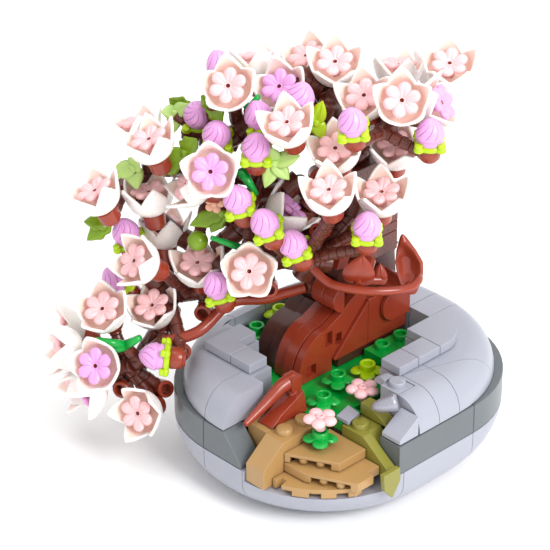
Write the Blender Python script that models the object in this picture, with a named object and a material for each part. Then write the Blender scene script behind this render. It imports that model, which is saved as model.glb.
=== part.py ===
"""Brick-built cherry blossom bonsai in a round pebble-shaped pot.

Sizes are in millimetres and are turned to metres when a mesh or a place is
made. World X runs to the right, Y away from the viewer and Z up, with the
origin under the middle of the pot. The pot, the rock garden and the trunk
stand on a stud grid that is turned 45 degrees: grid X runs to the front
right and grid Y to the back right. The branches and blooms use world places.
"""

from dataclasses import dataclass
from math import cos, pi, radians, sin, sqrt

import bpy
import bmesh
from mathutils import Matrix, Vector

# Driving dimensions
MM = 0.001
GAP = 0.3
PLATE = 3.2
BRICK = 9.6
STUD_RADIUS = 2.4
STUD_HEIGHT = 1.7
GRID_TURN = radians(-45.0)

POT_HALF_X = 40.5
POT_HALF_Y = 47.0
POT_CORNER = 32.5
BOWL_LIP = 5.5
BOWL_TUCK = 18.0
BOWL_CORNER_TUCK = 22.6
BELT_BOTTOM = 16.0
BELT_TOP = BELT_BOTTOM + BRICK
BELT_WIDTH = 7.8
DOME_TOP = BELT_TOP + BRICK
DOME_CORNER = 38.0
DOME_RIM = 8.8
TILE_TOP = DOME_TOP + PLATE
NOTCH_FLOOR = BELT_BOTTOM - PLATE
CORE_TOP = BELT_TOP - PLATE
OPENING_Y = -16.5

BLOOM_COLLAR = 3.1
BLOOM_RIM = 7.1
BLOOM_TIP = 10.2
PETAL_VALLEY = 6.0
PETAL_WALL = 0.9
FLOWER_RADIUS = 5.2
BUD_RADIUS = 4.1
BUD_HEIGHT = 8.6
CALYX_RADIUS = 4.5
LEAF_LOBE_REACH = 5.0
LEAF_SPREAD = 68.0
CUP_BRICK_RADIUS = 3.3
CUP_BRICK_HEIGHT = 4.6
TWIG_RADIUS = 1.5
WELD = 0.0000001

# Corners of the wing slope's diagonal as grid Y and height
WING_FOOT = (-1.4, 29.2)
WING_TOP = (12.9, 44.5)

# Pieces that are placed in world millimetres
WORLD_PIECES = ("silver_cone", "trunk_claw", "trunk_leaves", "vine_bar")

# Colours as linear red, green, blue, with roughness
LIGHT_GREY = ((0.54, 0.54, 0.62), 0.28)
DARK_GREY = ((0.14, 0.16, 0.17), 0.28)
RED_BROWN = ((0.24, 0.045, 0.022), 0.25)
DARK_BROWN = ((0.045, 0.018, 0.016), 0.3)
TAN = ((0.56, 0.34, 0.14), 0.28)
OLIVE = ((0.34, 0.30, 0.06), 0.28)
GREEN = ((0.0, 0.36, 0.05), 0.25)
LIME = ((0.46, 0.66, 0.0), 0.25)
WHITE = ((0.92, 0.85, 0.82), 0.25)
PINK = ((0.92, 0.52, 0.56), 0.28)
SILVER = ((0.62, 0.63, 0.70), 0.25)


def clear_scene():
    """Remove every object that the file opened with."""
    for item in list(bpy.data.objects):
        bpy.data.objects.remove(item, do_unlink=True)


def material(name, finish):
    """Return a plain moulded-plastic material."""
    colour, roughness = finish
    made = bpy.data.materials.new(name)
    made.use_nodes = True
    shader = made.node_tree.nodes["Principled BSDF"]
    shader.inputs["Base Color"].default_value = (*colour, 1.0)
    shader.inputs["Roughness"].default_value = roughness
    shader.inputs["Metallic"].default_value = 0.0
    return made


def mesh_object(name, verts, faces, finish=None):
    """Make an object from millimetre points, with its faces turned outward."""
    mesh = bpy.data.meshes.new(name)
    mesh.from_pydata([tuple(c * MM for c in v) for v in verts], [], faces)
    work = bmesh.new()
    work.from_mesh(mesh)
    bmesh.ops.recalc_face_normals(work, faces=work.faces)
    work.to_mesh(mesh)
    work.free()
    made = bpy.data.objects.new(name, mesh)
    bpy.context.scene.collection.objects.link(made)
    if finish:
        mesh.materials.append(material(name, finish))
    return made


def loft(name, rings, finish=None):
    """Join rings of equal length into one closed solid with flat ends."""
    count = len(rings[0])
    verts = [point for ring in rings for point in ring]
    faces = []
    for row in range(len(rings) - 1):
        low = row * count
        high = low + count
        for i in range(count):
            j = (i + 1) % count
            faces.append((low + i, low + j, high + j, high + i))
    faces.append(tuple(range(count - 1, -1, -1)))
    faces.append(tuple(range(len(verts) - count, len(verts))))
    return mesh_object(name, verts, faces, finish)


def prism(name, outline, bottom, top, finish=None):
    """Raise a flat outline from bottom to top."""
    return loft(name, [[(x, y, z) for x, y in outline] for z in (bottom, top)], finish)


def bar_prism(name, outline, start, end, axis, finish=None):
    """Run an outline of (across, height) points along grid X or grid Y."""
    rings = []
    for place in (start, end):
        if axis == "X":
            rings.append([(place, a, z) for a, z in outline])
        else:
            rings.append([(a, place, z) for a, z in outline])
    return loft(name, rings, finish)


def arc(cx, cy, radius, start, end, steps):
    """Points on an arc, angles in degrees."""
    points = []
    for k in range(steps + 1):
        turn = radians(start + (end - start) * k / steps)
        points.append((cx + radius * cos(turn), cy + radius * sin(turn)))
    return points


def ring_at(count, radius, height, twist=0.0):
    """A level ring of points round the Z axis, the twist in degrees."""
    end = twist + 360.0 - 360.0 / count
    return [(x, y, height) for x, y in arc(0.0, 0.0, radius, twist, end, count - 1)]


def turned(name, profile, sides, finish=None, place=(0.0, 0.0, 0.0)):
    """Turn a profile of (radius, height) points round the Z axis."""
    rings = []
    for radius, height in profile:
        ring = ring_at(sides, radius, height)
        rings.append([(x + place[0], y + place[1], z + place[2]) for x, y, z in ring])
    return loft(name, rings, finish)


def stud(x, y, top):
    """A grid stud whose root is sunk into the plate that carries it."""
    return turned("stud", [(STUD_RADIUS, -0.8), (STUD_RADIUS, STUD_HEIGHT)], 10, None, (x, y, top))


def rod(start, end, radius, sides=6, end_radius=None):
    """A straight round rod between two points."""
    start, end = Vector(start), Vector(end)
    along = (end - start).normalized()
    frame = along.to_track_quat("Z", "Y").to_matrix()
    rings = []
    for centre, size in ((start, radius), (end, radius if end_radius is None else end_radius)):
        ring = [centre + frame @ Vector((x, y, 0.0)) for x, y in
                arc(0.0, 0.0, size, 0.0, 360.0 - 360.0 / sides, sides - 1)]
        rings.append([tuple(point) for point in ring])
    return loft("rod", rings)


def tube(points, radii, sides=8):
    """A bent round bar through points, with one radius for each."""
    path = [Vector(p) for p in points]
    rings = []
    for i, centre in enumerate(path):
        ahead = path[min(i + 1, len(path) - 1)] - path[max(i - 1, 0)]
        side = ahead.cross(Vector((0.0, 0.0, 1.0)))
        side.normalize()
        lift = side.cross(ahead).normalized()
        ring = []
        for x, y in arc(0.0, 0.0, radii[i], 0.0, 360.0 - 360.0 / sides, sides - 1):
            ring.append(tuple(centre + side * x + lift * y))
        rings.append(ring)
    return loft("tube", rings)


def bake(item):
    """Write an object's own placement into its mesh."""
    item.data.transform(item.matrix_basis)
    item.matrix_basis = Matrix.Identity(4)


def fuse(name, parts, finish):
    """Join overlapping parts into one closed body with a Boolean union."""
    body = parts[0]
    for part in parts:
        bake(part)
    group = bpy.data.collections.new(name + "_parts")
    bpy.context.scene.collection.children.link(group)
    for part in parts[1:]:
        group.objects.link(part)
        bpy.context.scene.collection.objects.unlink(part)
    for solver in ("EXACT", "MANIFOLD"):
        merged = union(body, group, solver)
        if is_closed(merged):
            break
    body.data = merged
    for part in list(group.objects):
        bpy.data.objects.remove(part, do_unlink=True)
    bpy.data.collections.remove(group)
    merged.materials.clear()
    return named(body, name, finish)


def union(body, group, solver):
    """The mesh of a body joined with a collection, without loose scraps."""
    join = body.modifiers.new("Union", "BOOLEAN")
    join.operation = "UNION"
    join.solver = solver
    join.operand_type = "COLLECTION"
    join.collection = group
    bpy.context.view_layer.update()
    graph = bpy.context.evaluated_depsgraph_get()
    merged = bpy.data.meshes.new_from_object(body.evaluated_get(graph))
    body.modifiers.clear()
    keep_largest(merged)
    return merged


def is_closed(mesh):
    """Whether every edge of a mesh lies between exactly two faces."""
    work = bmesh.new()
    work.from_mesh(mesh)
    closed = all(len(edge.link_faces) == 2 for edge in work.edges)
    work.free()
    return closed


def named(item, name, finish):
    """Give a single solid its node name and its material."""
    item.name = name
    item.data.name = name
    item.data.materials.append(material(name, finish))
    return item


def keep_largest(mesh):
    """Drop loose scraps, and weld points that a union left together."""
    work = bmesh.new()
    work.from_mesh(mesh)
    bmesh.ops.remove_doubles(work, verts=work.verts, dist=WELD)
    work.verts.ensure_lookup_table()
    unseen = set(work.verts)
    groups = []
    while unseen:
        stack = [unseen.pop()]
        found = set(stack)
        while stack:
            vert = stack.pop()
            for edge in vert.link_edges:
                other = edge.other_vert(vert)
                if other in unseen:
                    unseen.discard(other)
                    found.add(other)
                    stack.append(other)
        groups.append(found)
    groups.sort(key=len, reverse=True)
    scraps = [vert for group in groups[1:] for vert in group]
    bmesh.ops.delete(work, geom=scraps, context="VERTS")
    bmesh.ops.triangulate(work, faces=work.faces)
    work.to_mesh(mesh)
    work.free()


def cut(target, cutter):
    """Cut a hidden shape out of a solid."""
    cutter.hide_render = True
    cutter.display_type = "WIRE"
    knife = target.modifiers.new("Cut", "BOOLEAN")
    knife.operation = "DIFFERENCE"
    knife.object = cutter


# Pot

def rounded_outline(half_x, half_y, radius, steps=6):
    """A rectangle with round corners, counter-clockwise."""
    points = []
    for sx, sy, start in ((1, 1, 0), (-1, 1, 90), (-1, -1, 180), (1, -1, 270)):
        points += arc(sx * (half_x - radius), sy * (half_y - radius), radius, start, start + 90, steps)
    return points


def bowl_ring(height):
    """The bowl's outline at a height: straight lip, then an inward curve."""
    curve = BELT_BOTTOM - BOWL_LIP
    drop = max(0.0, (curve - height) / curve)
    side = BOWL_TUCK * (1.0 - sqrt(max(0.0, 1.0 - drop * drop)))
    fall = (BELT_BOTTOM - height) / BELT_BOTTOM
    corner = BOWL_CORNER_TUCK * (1.0 - sqrt(max(0.0, 1.0 - fall * fall)))
    half_x, half_y = POT_HALF_X - side, POT_HALF_Y - side
    reach = (POT_HALF_X + POT_HALF_Y - 2.0 * POT_CORNER) * sqrt(0.5) + POT_CORNER - corner
    radius = ((half_x + half_y) * sqrt(0.5) - reach) / (sqrt(2.0) - 1.0)
    radius = min(radius, half_x - 0.2)
    return [(x, y, height) for x, y in rounded_outline(half_x, half_y, radius)]


def build_bowl():
    """Lower bowl of upturned curved slopes, notched for the sand plates."""
    heights = (0.0, 1.0, 2.8, 5.2, 8.4, 12.2, BELT_BOTTOM)
    bowl = loft("pot_bowl", [bowl_ring(z) for z in heights], LIGHT_GREY)
    outline = [(8.6, -60.0), (60.0, -60.0), (60.0, -17.2), (8.6, -17.2)]
    cut(bowl, prism("bowl_notch_cutter", outline, NOTCH_FLOOR, BELT_BOTTOM + 5.0))
    return [bowl]


def corner_arc(sign_x, sign_y, start, end, inset, steps=6):
    """An arc of the belt's outline at one corner."""
    centre_x = sign_x * (POT_HALF_X - POT_CORNER)
    centre_y = sign_y * (POT_HALF_Y - POT_CORNER)
    return arc(centre_x, centre_y, POT_CORNER - inset, start, end, steps)


def belt_piece(name, outer, inner):
    """One length of the dark belt: an outer path and the inner path beside it."""
    return prism(name, outer + inner[::-1], BELT_BOTTOM + GAP, BELT_TOP, DARK_GREY)


def build_belt():
    """Dark belt one brick high, in lengths with a fine seam between them."""
    straight_x, straight_y = POT_HALF_X - POT_CORNER, POT_HALF_Y - POT_CORNER
    inner_x, inner_y = POT_HALF_X - BELT_WIDTH, POT_HALF_Y - BELT_WIDTH
    seam = 0.6
    right = belt_piece("belt_front_right",
                       [(POT_HALF_X, OPENING_Y), (POT_HALF_X, straight_y)],
                       [(inner_x, OPENING_Y), (inner_x, straight_y)])
    corner = belt_piece("belt_right_corner",
                        corner_arc(1, 1, seam, 90.0 - seam, 0.0),
                        corner_arc(1, 1, seam, 90.0 - seam, BELT_WIDTH))
    back = belt_piece("belt_back",
                      [(straight_x, POT_HALF_Y)] + corner_arc(-1, 1, 90.0, 180.0, 0.0)
                      + [(-POT_HALF_X, -straight_y)],
                      [(straight_x, inner_y)] + corner_arc(-1, 1, 90.0, 180.0, BELT_WIDTH)
                      + [(-inner_x, -straight_y)])
    left = belt_piece("belt_left_corner",
                      corner_arc(-1, -1, 180.0 + seam, 270.0 - seam, 0.0),
                      corner_arc(-1, -1, 180.0 + seam, 270.0 - seam, BELT_WIDTH))
    slope = [(-straight_x, BELT_BOTTOM + GAP), (7.4, BELT_BOTTOM + GAP), (0.2, BELT_TOP),
             (-straight_x, BELT_TOP)]
    front_left = loft("belt_front_left",
                      [[(x, y, z) for x, z in slope] for y in (-POT_HALF_Y, -inner_y)], DARK_GREY)
    return [right, corner, back, left, front_left]


def dome_piece(name, outer_at, inner):
    """A stretch of dome: a quarter-round rim outside and a flat deck inside."""
    rings = []
    for k in range(5):
        turn = pi / 2.0 * k / 4.0
        inset = DOME_RIM * (1.0 - cos(turn))
        height = BELT_TOP + GAP + (BRICK - GAP) * sin(turn)
        rings.append([(x, y, height) for x, y in outer_at(inset) + inner])
    return loft(name, rings, LIGHT_GREY)


def dome_arc(sign_x, sign_y, start, end, inset):
    """An arc of the dome's outline at one corner."""
    centre_x = sign_x * (POT_HALF_X - GAP - DOME_CORNER)
    centre_y = sign_y * (POT_HALF_Y - GAP - DOME_CORNER)
    return arc(centre_x, centre_y, DOME_CORNER - inset, start, end, 7)


def build_dome():
    """Upper dome in three stretches round the trunk, open at the front."""
    side_x, side_y = POT_HALF_X - GAP, POT_HALF_Y - GAP

    def right_outer(inset):
        return ([(side_x - inset, -8.0)] + dome_arc(1, 1, 0.0, 90.0, inset)
                + [(0.2, side_y - inset)])

    def back_outer(inset):
        return ([(-0.1, side_y - inset)] + dome_arc(-1, 1, 90.0, 180.0, inset)
                + [(-side_x + inset, 0.0)])

    def left_outer(inset):
        return ([(-side_x + inset, -GAP)] + dome_arc(-1, -1, 180.0, 270.0, inset)
                + [(0.0, -side_y + inset)])

    right = dome_piece("dome_right", right_outer, [(0.2, 29.4), (11.6, 29.4), (11.6, 15.6), (17.6, 15.6),
                                                   (17.6, -1.0), (31.4, -1.0), (31.4, -8.0)])
    back = dome_piece("dome_back", back_outer, [(-31.2, 0.0), (-31.2, 12.0), (-23.0, 12.0),
                                                (-23.0, 29.4), (-0.1, 29.4)])
    left = dome_piece("dome_left", left_outer, [(0.0, -31.0), (-4.0, -31.0), (-4.0, -23.8),
                                                (-17.0, -23.8), (-17.0, -16.4), (-31.2, -16.4),
                                                (-31.2, -GAP)])
    return [right, back, left]


def build_raised_tiles():
    """Smooth plates that step up the deck beside the trunk."""
    corner = arc(15.6, 18.9, 9.8, 0.0, 90.0, 5)
    right = [(18.0, -1.2), (25.4, -1.2)] + corner + [(11.8, 28.7), (11.8, 15.8), (18.0, 15.8)]
    left = [(-24.2, -31.2), (-5.4, -31.2), (-5.4, -24.2), (-17.4, -24.2), (-17.4, -17.2), (-24.2, -17.2)]
    return [prism("raised_tile_right", right, DOME_TOP + GAP, TILE_TOP, LIGHT_GREY),
            prism("raised_tile_left", left, DOME_TOP + GAP, TILE_TOP, LIGHT_GREY)]


def build_core():
    """Bricks inside the belt that carry the garden and the trunk."""
    half_x, half_y, radius = 32.2, 38.7, 24.2
    outline = [(half_x, -11.2)]
    outline += arc(half_x - radius, half_y - radius, radius, 0.0, 90.0, 4)
    outline += arc(radius - half_x, half_y - radius, radius, 90.0, 180.0, 4)
    outline += arc(radius - half_x, radius - half_y, radius, 180.0, 270.0, 4)
    outline += [(0.4, -half_y), (0.4, -23.2), (16.0, -23.2), (16.0, -19.8), (20.6, -19.8), (20.6, -11.2)]
    core = prism("pot_core", outline, BELT_BOTTOM + GAP, CORE_TOP, DARK_BROWN)
    return [core]


# Rock garden

def sand_slope():
    """Tan slope at the left of the garden, with two studs on its flat top."""
    front, ridge = -46.4, -38.6
    side = [(front, NOTCH_FLOOR + GAP), (-23.8, NOTCH_FLOOR + GAP), (-23.8, BELT_TOP),
            (ridge, BELT_TOP), (front, BELT_BOTTOM + PLATE)]
    slope = bar_prism("sand_slope", side, 9.0, 16.2, "X")
    step = prism("step", [(1.2, -38.2), (9.6, -38.2), (9.6, -24.2), (1.2, -24.2)],
                 BELT_BOTTOM + GAP, BELT_TOP)
    studs = [stud(12.4, -34.5, BELT_TOP), stud(12.4, -27.0, BELT_TOP)]
    return fuse("sand_slope", [slope, step] + studs, TAN)


def sand_plate_low():
    """Lowest tan plate, with the pot's round edge and two small notches."""
    outer = corner_arc(1, -1, -72.0, -24.0, 0.5, 6)
    outline = [(16.5, -43.2), (18.0, -43.2), (18.0, -41.0), (20.0, -41.0)]
    outline += outer[1:-1]
    outline += [(36.4, -30.0), (36.4, -27.2), (34.4, -27.2), (34.4, -20.4), (16.5, -20.4)]
    return prism("sand_plate_low", outline, NOTCH_FLOOR + GAP, BELT_BOTTOM, TAN)


def sand_wedges():
    """Two tan wedge plates in steps, each with a stud at its square end."""
    outline = [(16.5, -38.6), (24.5, -38.3), (38.6, -31.2), (38.6, -24.9), (36.4, -24.9), (36.4, -20.4),
               (16.5, -20.4)]
    middle = prism("middle", outline, BELT_BOTTOM + GAP, BELT_BOTTOM + PLATE)
    top = prism("top", [(16.5, -38.6), (31.0, -31.0), (31.0, -20.4), (16.5, -20.4)],
                BELT_BOTTOM + PLATE + GAP, CORE_TOP)
    return [fuse("sand_wedge_middle", [middle, stud(34.8, -27.6, BELT_BOTTOM + PLATE)], TAN),
            fuse("sand_wedge_top", [top, stud(27.6, -26.4, CORE_TOP)], TAN)]


def olive_slopes():
    """Olive slope with its hanging tooth, and a lower slope behind it."""
    side = [(21.0, BELT_BOTTOM + GAP), (39.8, BELT_BOTTOM + GAP), (39.8, 18.3), (29.4, BELT_TOP),
            (21.0, BELT_TOP)]
    inner = [(21.0, BELT_BOTTOM + GAP), (32.3, BELT_BOTTOM + GAP), (32.3, 22.4), (28.6, BELT_TOP),
             (21.0, BELT_TOP)]
    slope = bar_prism("slope", side, -20.1, OPENING_Y - GAP, "Y")
    rear = bar_prism("rear", inner, OPENING_Y - 1.0, -12.0, "Y")
    tooth = bar_prism("tooth", [(-24.8, 20.6), (-18.2, 20.6), (-17.8, 16.2), (-21.0, 11.4), (-24.2, 15.2)],
                      40.8, 42.4, "X")
    link = bar_prism("link", [(39.4, 16.6), (41.2, 16.6), (41.2, 18.2), (39.4, 18.2)], -20.0, -18.4, "Y")
    front = fuse("olive_slope_front", [slope, rear, tooth, link, stud(25.2, -16.8, BELT_TOP)], OLIVE)
    low = [(20.8, BELT_TOP + GAP), (32.0, BELT_TOP + GAP), (24.6, BELT_TOP + 4.2), (20.8, BELT_TOP + 4.2)]
    back = bar_prism("olive_slope_back", low, -12.4, -8.4, "Y", OLIVE)
    return [front, back]


def build_garden():
    """The green bed with its plants, the rocks and the small ornaments."""
    bed = prism("bed", [(0.4, -23.0), (15.8, -23.0), (15.8, -19.6), (20.4, -19.6), (20.4, -11.0),
                        (17.2, -11.0), (17.2, 29.0), (-22.8, 29.0), (-22.8, 11.6), (-30.8, 11.6),
                        (-30.8, -16.0), (-16.8, -16.0), (-16.8, -23.4), (0.4, -23.4)],
                CORE_TOP + GAP, BELT_TOP)
    strip = prism("strip", [(0.4, 10.0), (8.0, 10.0), (8.0, 26.4), (0.4, 26.4)], BELT_TOP - 0.5,
                  BELT_TOP + PLATE)
    parts = [bed, strip, stud(3.6, 14.5, BELT_TOP + PLATE), stud(3.6, 22.4, BELT_TOP + PLATE)]
    for x, y in ((10.8, -17.4), (5.8, -6.4), (-26.2, -8.0)):
        parts += leafy_plate(x, y, BELT_TOP)
    pieces = [fuse("garden_bed", parts, GREEN)]
    pieces.append(fuse("plant_green", leafy_plate(20.7, -28.4, CORE_TOP + GAP, 0.0), GREEN))
    pieces.append(fuse("plant_lime", leafy_plate(8.4, 3.2, BELT_TOP + GAP, 0.0), LIME))
    pieces.append(small_flower("garden_flower_right", 16.0, -6.6, BELT_TOP + GAP))
    plant_top = CORE_TOP + PLATE + STUD_HEIGHT + 2.0 * GAP
    pieces.append(small_flower("garden_flower_front", 20.7, -28.4, plant_top))
    cheese = [(-16.2, BELT_TOP + GAP), (-8.6, BELT_TOP + GAP), (-8.6, BELT_TOP + 6.6),
              (-16.2, BELT_TOP + 1.6)]
    pieces.append(bar_prism("grey_slope", cheese, 33.0, 40.2, "X", LIGHT_GREY))
    pieces.append(clip_plate())
    pieces.append(silver_cone())
    pieces.append(prism("grey_tile", [(18.1, -19.4), (23.0, -19.4), (21.8, -13.6), (16.6, -13.0)],
                        BELT_TOP + GAP, BELT_TOP + 1.6, LIGHT_GREY))
    return pieces + [sand_slope(), sand_plate_low()] + sand_wedges() + olive_slopes()


def leafy_plate(x, y, base, sink=0.5):
    """A one-stud plate with four leaf lobes round a hollow-looking stud."""
    ring = []
    for k in range(12):
        turn = 2.0 * pi * k / 12
        reach = 2.8 if k % 3 == 0 else LEAF_LOBE_REACH
        ring.append((x + reach * cos(turn), y + reach * sin(turn)))
    leaves = prism("leaves", ring, base + 1.4, base + 2.8)
    stem = turned("stem", [(2.5, -sink), (2.5, 1.8)], 10, None, (x, y, base))
    cup = turned("cup", [(2.4, 2.0), (2.4, PLATE + STUD_HEIGHT - 0.2)], 10, None, (x, y, base))
    return [leaves, stem, cup]


def small_flower(name, x, y, base):
    """A small garden flower: five round petals on a short stem."""
    parts = [turned("stem", [(1.5, 0.0), (1.5, 4.4)], 6, None, (x, y, base))]
    for k in range(5):
        turn = 2.0 * pi * k / 5 + 0.3
        place = (x + 3.0 * cos(turn), y + 3.0 * sin(turn), base)
        parts.append(turned("petal", [(1.95, 2.6), (1.6, 4.6)], 6, None, place))
    return fuse(name, parts, PINK)


def clip_plate():
    """A grey one-stud brick with a clip arm, level with the deck."""
    block = prism("block", [(24.2, -7.8), (31.1, -7.8), (31.1, -1.3), (24.2, -1.3)],
                  CORE_TOP + GAP, DOME_TOP)
    arm = tube([(25.0, -4.6, 33.4), (22.6, -4.6, 35.6), (20.4, -4.6, 35.4), (19.0, -4.6, 33.0)],
               [1.3, 1.3, 1.3, 1.2], 8)
    return fuse("grey_clip_plate", [block, arm, stud(27.6, -4.5, DOME_TOP)], LIGHT_GREY)


def silver_cone():
    """A rounded pearl-silver cone lying among the rocks."""
    profile = [(0.6, 0.0), (1.6, 1.6), (2.3, 4.2), (2.6, 6.8), (2.0, 7.7)]
    cone = turned("silver_cone", profile, 12, SILVER)
    place_along(cone, (9.0, -30.5, 32.4), (0.955, 0.0, 0.297))
    return cone


def place_along(item, base, direction):
    """Stand an object's Z axis along a direction from a base point."""
    turn = Vector(direction).normalized().to_track_quat("Z", "Y")
    item.matrix_basis = Matrix.Translation(Vector(base) * MM) @ turn.to_matrix().to_4x4()


# Trunk

def build_trunk():
    """Stepped trunk of dark and reddish bricks, roots, claws and the vine bar."""
    foot = BELT_TOP + GAP
    lower = loft("lower", [
        [(-21.8, 2.2, foot), (-4.4, 2.2, foot), (-4.4, 28.2, foot), (-21.8, 28.2, foot)],
        [(-20.0, 3.0, 44.0), (-4.4, 3.0, 44.0), (-4.4, 28.2, 44.0), (-18.0, 28.2, 44.0)],
        [(-18.2, 3.4, 53.4), (-4.4, 3.4, 53.4), (-4.4, 27.4, 53.4), (-16.8, 27.4, 53.4)],
        [(-17.0, 3.6, 58.0), (-2.6, 3.6, 58.0), (-2.6, 27.0, 58.0), (-16.0, 27.0, 58.0)]])
    upper_parts = [lower]
    for low, high, x, y, half in ((57.4, 74.0, -8.6, 15.4, 8.4), (73.2, 90.0, -7.6, 13.0, 7.0),
                                  (89.2, 103.0, -9.0, 9.4, 5.6)):
        square = [(x - half, y - half), (x + half, y - half), (x + half, y + half), (x - half, y + half)]
        upper_parts.append(prism("step", square, low, high))
    pieces = [fuse("trunk_column", upper_parts, DARK_BROWN)]

    wing = [WING_FOOT, (28.6, 29.2), (28.6, WING_TOP[1]), WING_TOP, (WING_FOOT[0], 29.8)]
    face = bar_prism("wing", wing, -4.1, -0.4, "X")
    tile = arc(22.0, 39.2, 4.9, 90.0, 270.0, 6) + [(28.6, 34.3), (28.6, 44.1)]
    disc = bar_prism("disc", tile, -1.0, 1.2, "X")
    sill = bar_prism("sill", [(0.4, foot), (28.6, foot), (28.6, foot + 3.5), (0.4, foot + 3.5)],
                     -4.1, -0.9, "X")
    pieces.append(fuse("trunk_wing", [face, disc, sill], RED_BROWN))
    pieces += roots()
    pieces += claws()
    return pieces


def root_fan(x_start, x_end, toe, knee, back):
    """A root slope: a quarter ellipse from its toe to its knee, then straight back."""
    knee_y, knee_z = knee
    base = BELT_TOP + GAP
    outline = []
    for k in range(8):
        turn = pi / 2.0 * k / 7.0
        outline.append((knee_y + (toe - knee_y) * cos(turn), base + (knee_z - base) * sin(turn)))
    return bar_prism("fan", outline + back, x_start, x_end, "X")


def roots():
    """Root slopes in dark and reddish brown, and the front root with its horn."""
    seat = BELT_TOP + GAP
    dark_back = [(1.9, 43.0), (1.9, seat)]
    dark = fuse("root_dark", [root_fan(-21.6, -16.4, -13.2, (-2.0, 39.0), dark_back),
                              root_fan(-16.5, -12.4, -13.8, (-2.0, 39.5), dark_back)], DARK_BROWN)
    red_back = [(1.9, 43.3), (1.9, seat)]
    beside_wing = [(1.9, 43.3), (5.7, 46.4), (9.5, 48.5), (WING_TOP[0] - 0.25, WING_TOP[1] + GAP),
                   (WING_FOOT[0] - GAP, 30.1), (WING_FOOT[0] - GAP, seat)]
    knee = (-3.9, 40.6)
    side = root_fan(-4.1, -1.4, -15.6, knee, beside_wing)
    bridge = root_fan(-4.7, -3.9, -15.4, (-3.9, 40.2), [(-2.0, 40.9), (-2.0, seat)])
    red = fuse("root_red", [root_fan(-12.1, -8.4, -15.0, knee, red_back),
                            root_fan(-8.5, -4.4, -15.6, knee, red_back), bridge, side], RED_BROWN)
    for number, window in enumerate(((-4.5, -1.6, 34.6, 39.3), (-12.2, -8.2, 27.4, 31.0))):
        front, rear, low, high = window
        outline = [(front, low), (rear, low), (rear, high), (front, high)]
        cut(red, bar_prism("root_window_%d_cutter" % number, outline, -2.8, 0.0, "X"))
    base = BELT_TOP + GAP
    body = loft("body", [
        [(1.6, -22.2, base), (9.2, -22.2, base), (9.2, -36.4, base), (3.2, -36.4, base)],
        [(2.4, -23.0, 31.0), (7.0, -23.0, 33.0), (8.2, -33.0, 28.4), (4.2, -33.0, 27.4)]])
    horn = tube([(4.0, -22.6, 34.6), (3.6, -27.4, 33.6), (3.4, -32.2, 31.0), (3.3, -37.4, 28.6),
                 (3.6, -41.6, 27.2)], [2.0, 1.9, 1.5, 1.2, 0.9], 8)
    brace = rod((5.4, -24.0, 30.0), (4.0, -23.6, 34.0), 1.7)
    front = fuse("root_front", [body, horn, brace], RED_BROWN)
    return [dark, red, front]


def leaf_solid(width, length, bend, thick=1.3):
    """A pointed leaf in the X-Z plane: root at the origin, tip up, bowed to -Y."""
    rings = []
    for share, size, bow in ((0.0, 0.4, 0.0), (0.5, 1.0, 0.45), (1.0, 0.12, 1.0)):
        half = width / 2.0 * size
        place = -bend * bow
        height = length * share - 0.6
        rings.append([(-half, place, height), (0.0, place - thick / 2.0, height),
                      (half, place, height), (0.0, place + thick / 2.0, height)])
    return loft("leaf", rings)


def claws():
    """The tall claw, the two pointed leaves and the round bar of the vine."""
    arm = rod((11.2, 17.0, 49.8), (20.6, 7.6, 49.8), 2.0, 8)
    blade = []
    for x, z, half in ((20.8, 48.2, 1.6), (20.9, 50.7, 2.2), (20.9, 54.4, 2.9), (20.3, 58.5, 3.4),
                       (19.2, 62.5, 2.3), (18.1, 67.5, 0.5)):
        thick = min(half, 1.5)
        blade.append([(x + half * a, 7.0 + thick * b, z) for a, b in arc(0.0, 0.0, 1.0, 0.0, 315.0, 7)])
    claw_node = fuse("trunk_claw", [loft("blade", blade), arm], RED_BROWN)
    leaves = []
    for place, slant, width, length in (((4.8, -3.6, 58.0), 0.17, 8.8, 8.8),
                                        ((11.3, -1.4, 56.6), 0.0, 4.2, 6.1)):
        leaf = leaf_solid(width, length, -1.2, 2.2)
        leaf.matrix_basis = Matrix.Translation(Vector(place) * MM) @ Matrix.Rotation(slant, 4, "Y")
        leaves.append(leaf)
    seat = rod((3.6, -2.6, 58.0), (11.6, -0.8, 57.0), 1.5, 8)
    stem = tube([(6.85, 6.6, 60.0), (8.8, 4.7, 60.0), (7.4, -1.4, 57.8)], [1.4, 1.4, 1.4], 6)
    clip = rod((5.0, -2.4, 58.0), (5.0, -5.7, 57.6), 1.3)
    leaf_node = fuse("trunk_leaves", leaves + [seat, stem, clip], RED_BROWN)
    path = ((-8.1, -2.0, 61.4), (-3.9, -4.5, 58.4), (0.2, -6.5, 57.8), (6.4, -7.5, 57.3), (11.6, -7.2, 57.0),
            (16.7, -5.6, 56.5), (20.4, -3.0, 56.0), (22.3, 0.0, 56.3), (22.7, 3.0, 55.8))
    vine = tube(path, [1.3] * len(path))
    vine_node = named(vine, "vine_bar", RED_BROWN)
    return [claw_node, leaf_node, vine_node]


# Blossom

def lean(tilt, heading, spin=0.0):
    """Turn Z toward a compass heading by a tilt from upright, in degrees."""
    turn = radians(heading)
    return (Matrix.Rotation(turn, 4, "Z") @ Matrix.Rotation(radians(tilt), 4, "Y")
            @ Matrix.Rotation(radians(spin) - turn, 4, "Z"))


def axis_of(tilt, heading):
    """The direction in which a tilted piece points."""
    return lean(tilt, heading) @ Vector((0.0, 0.0, 1.0))


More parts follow.
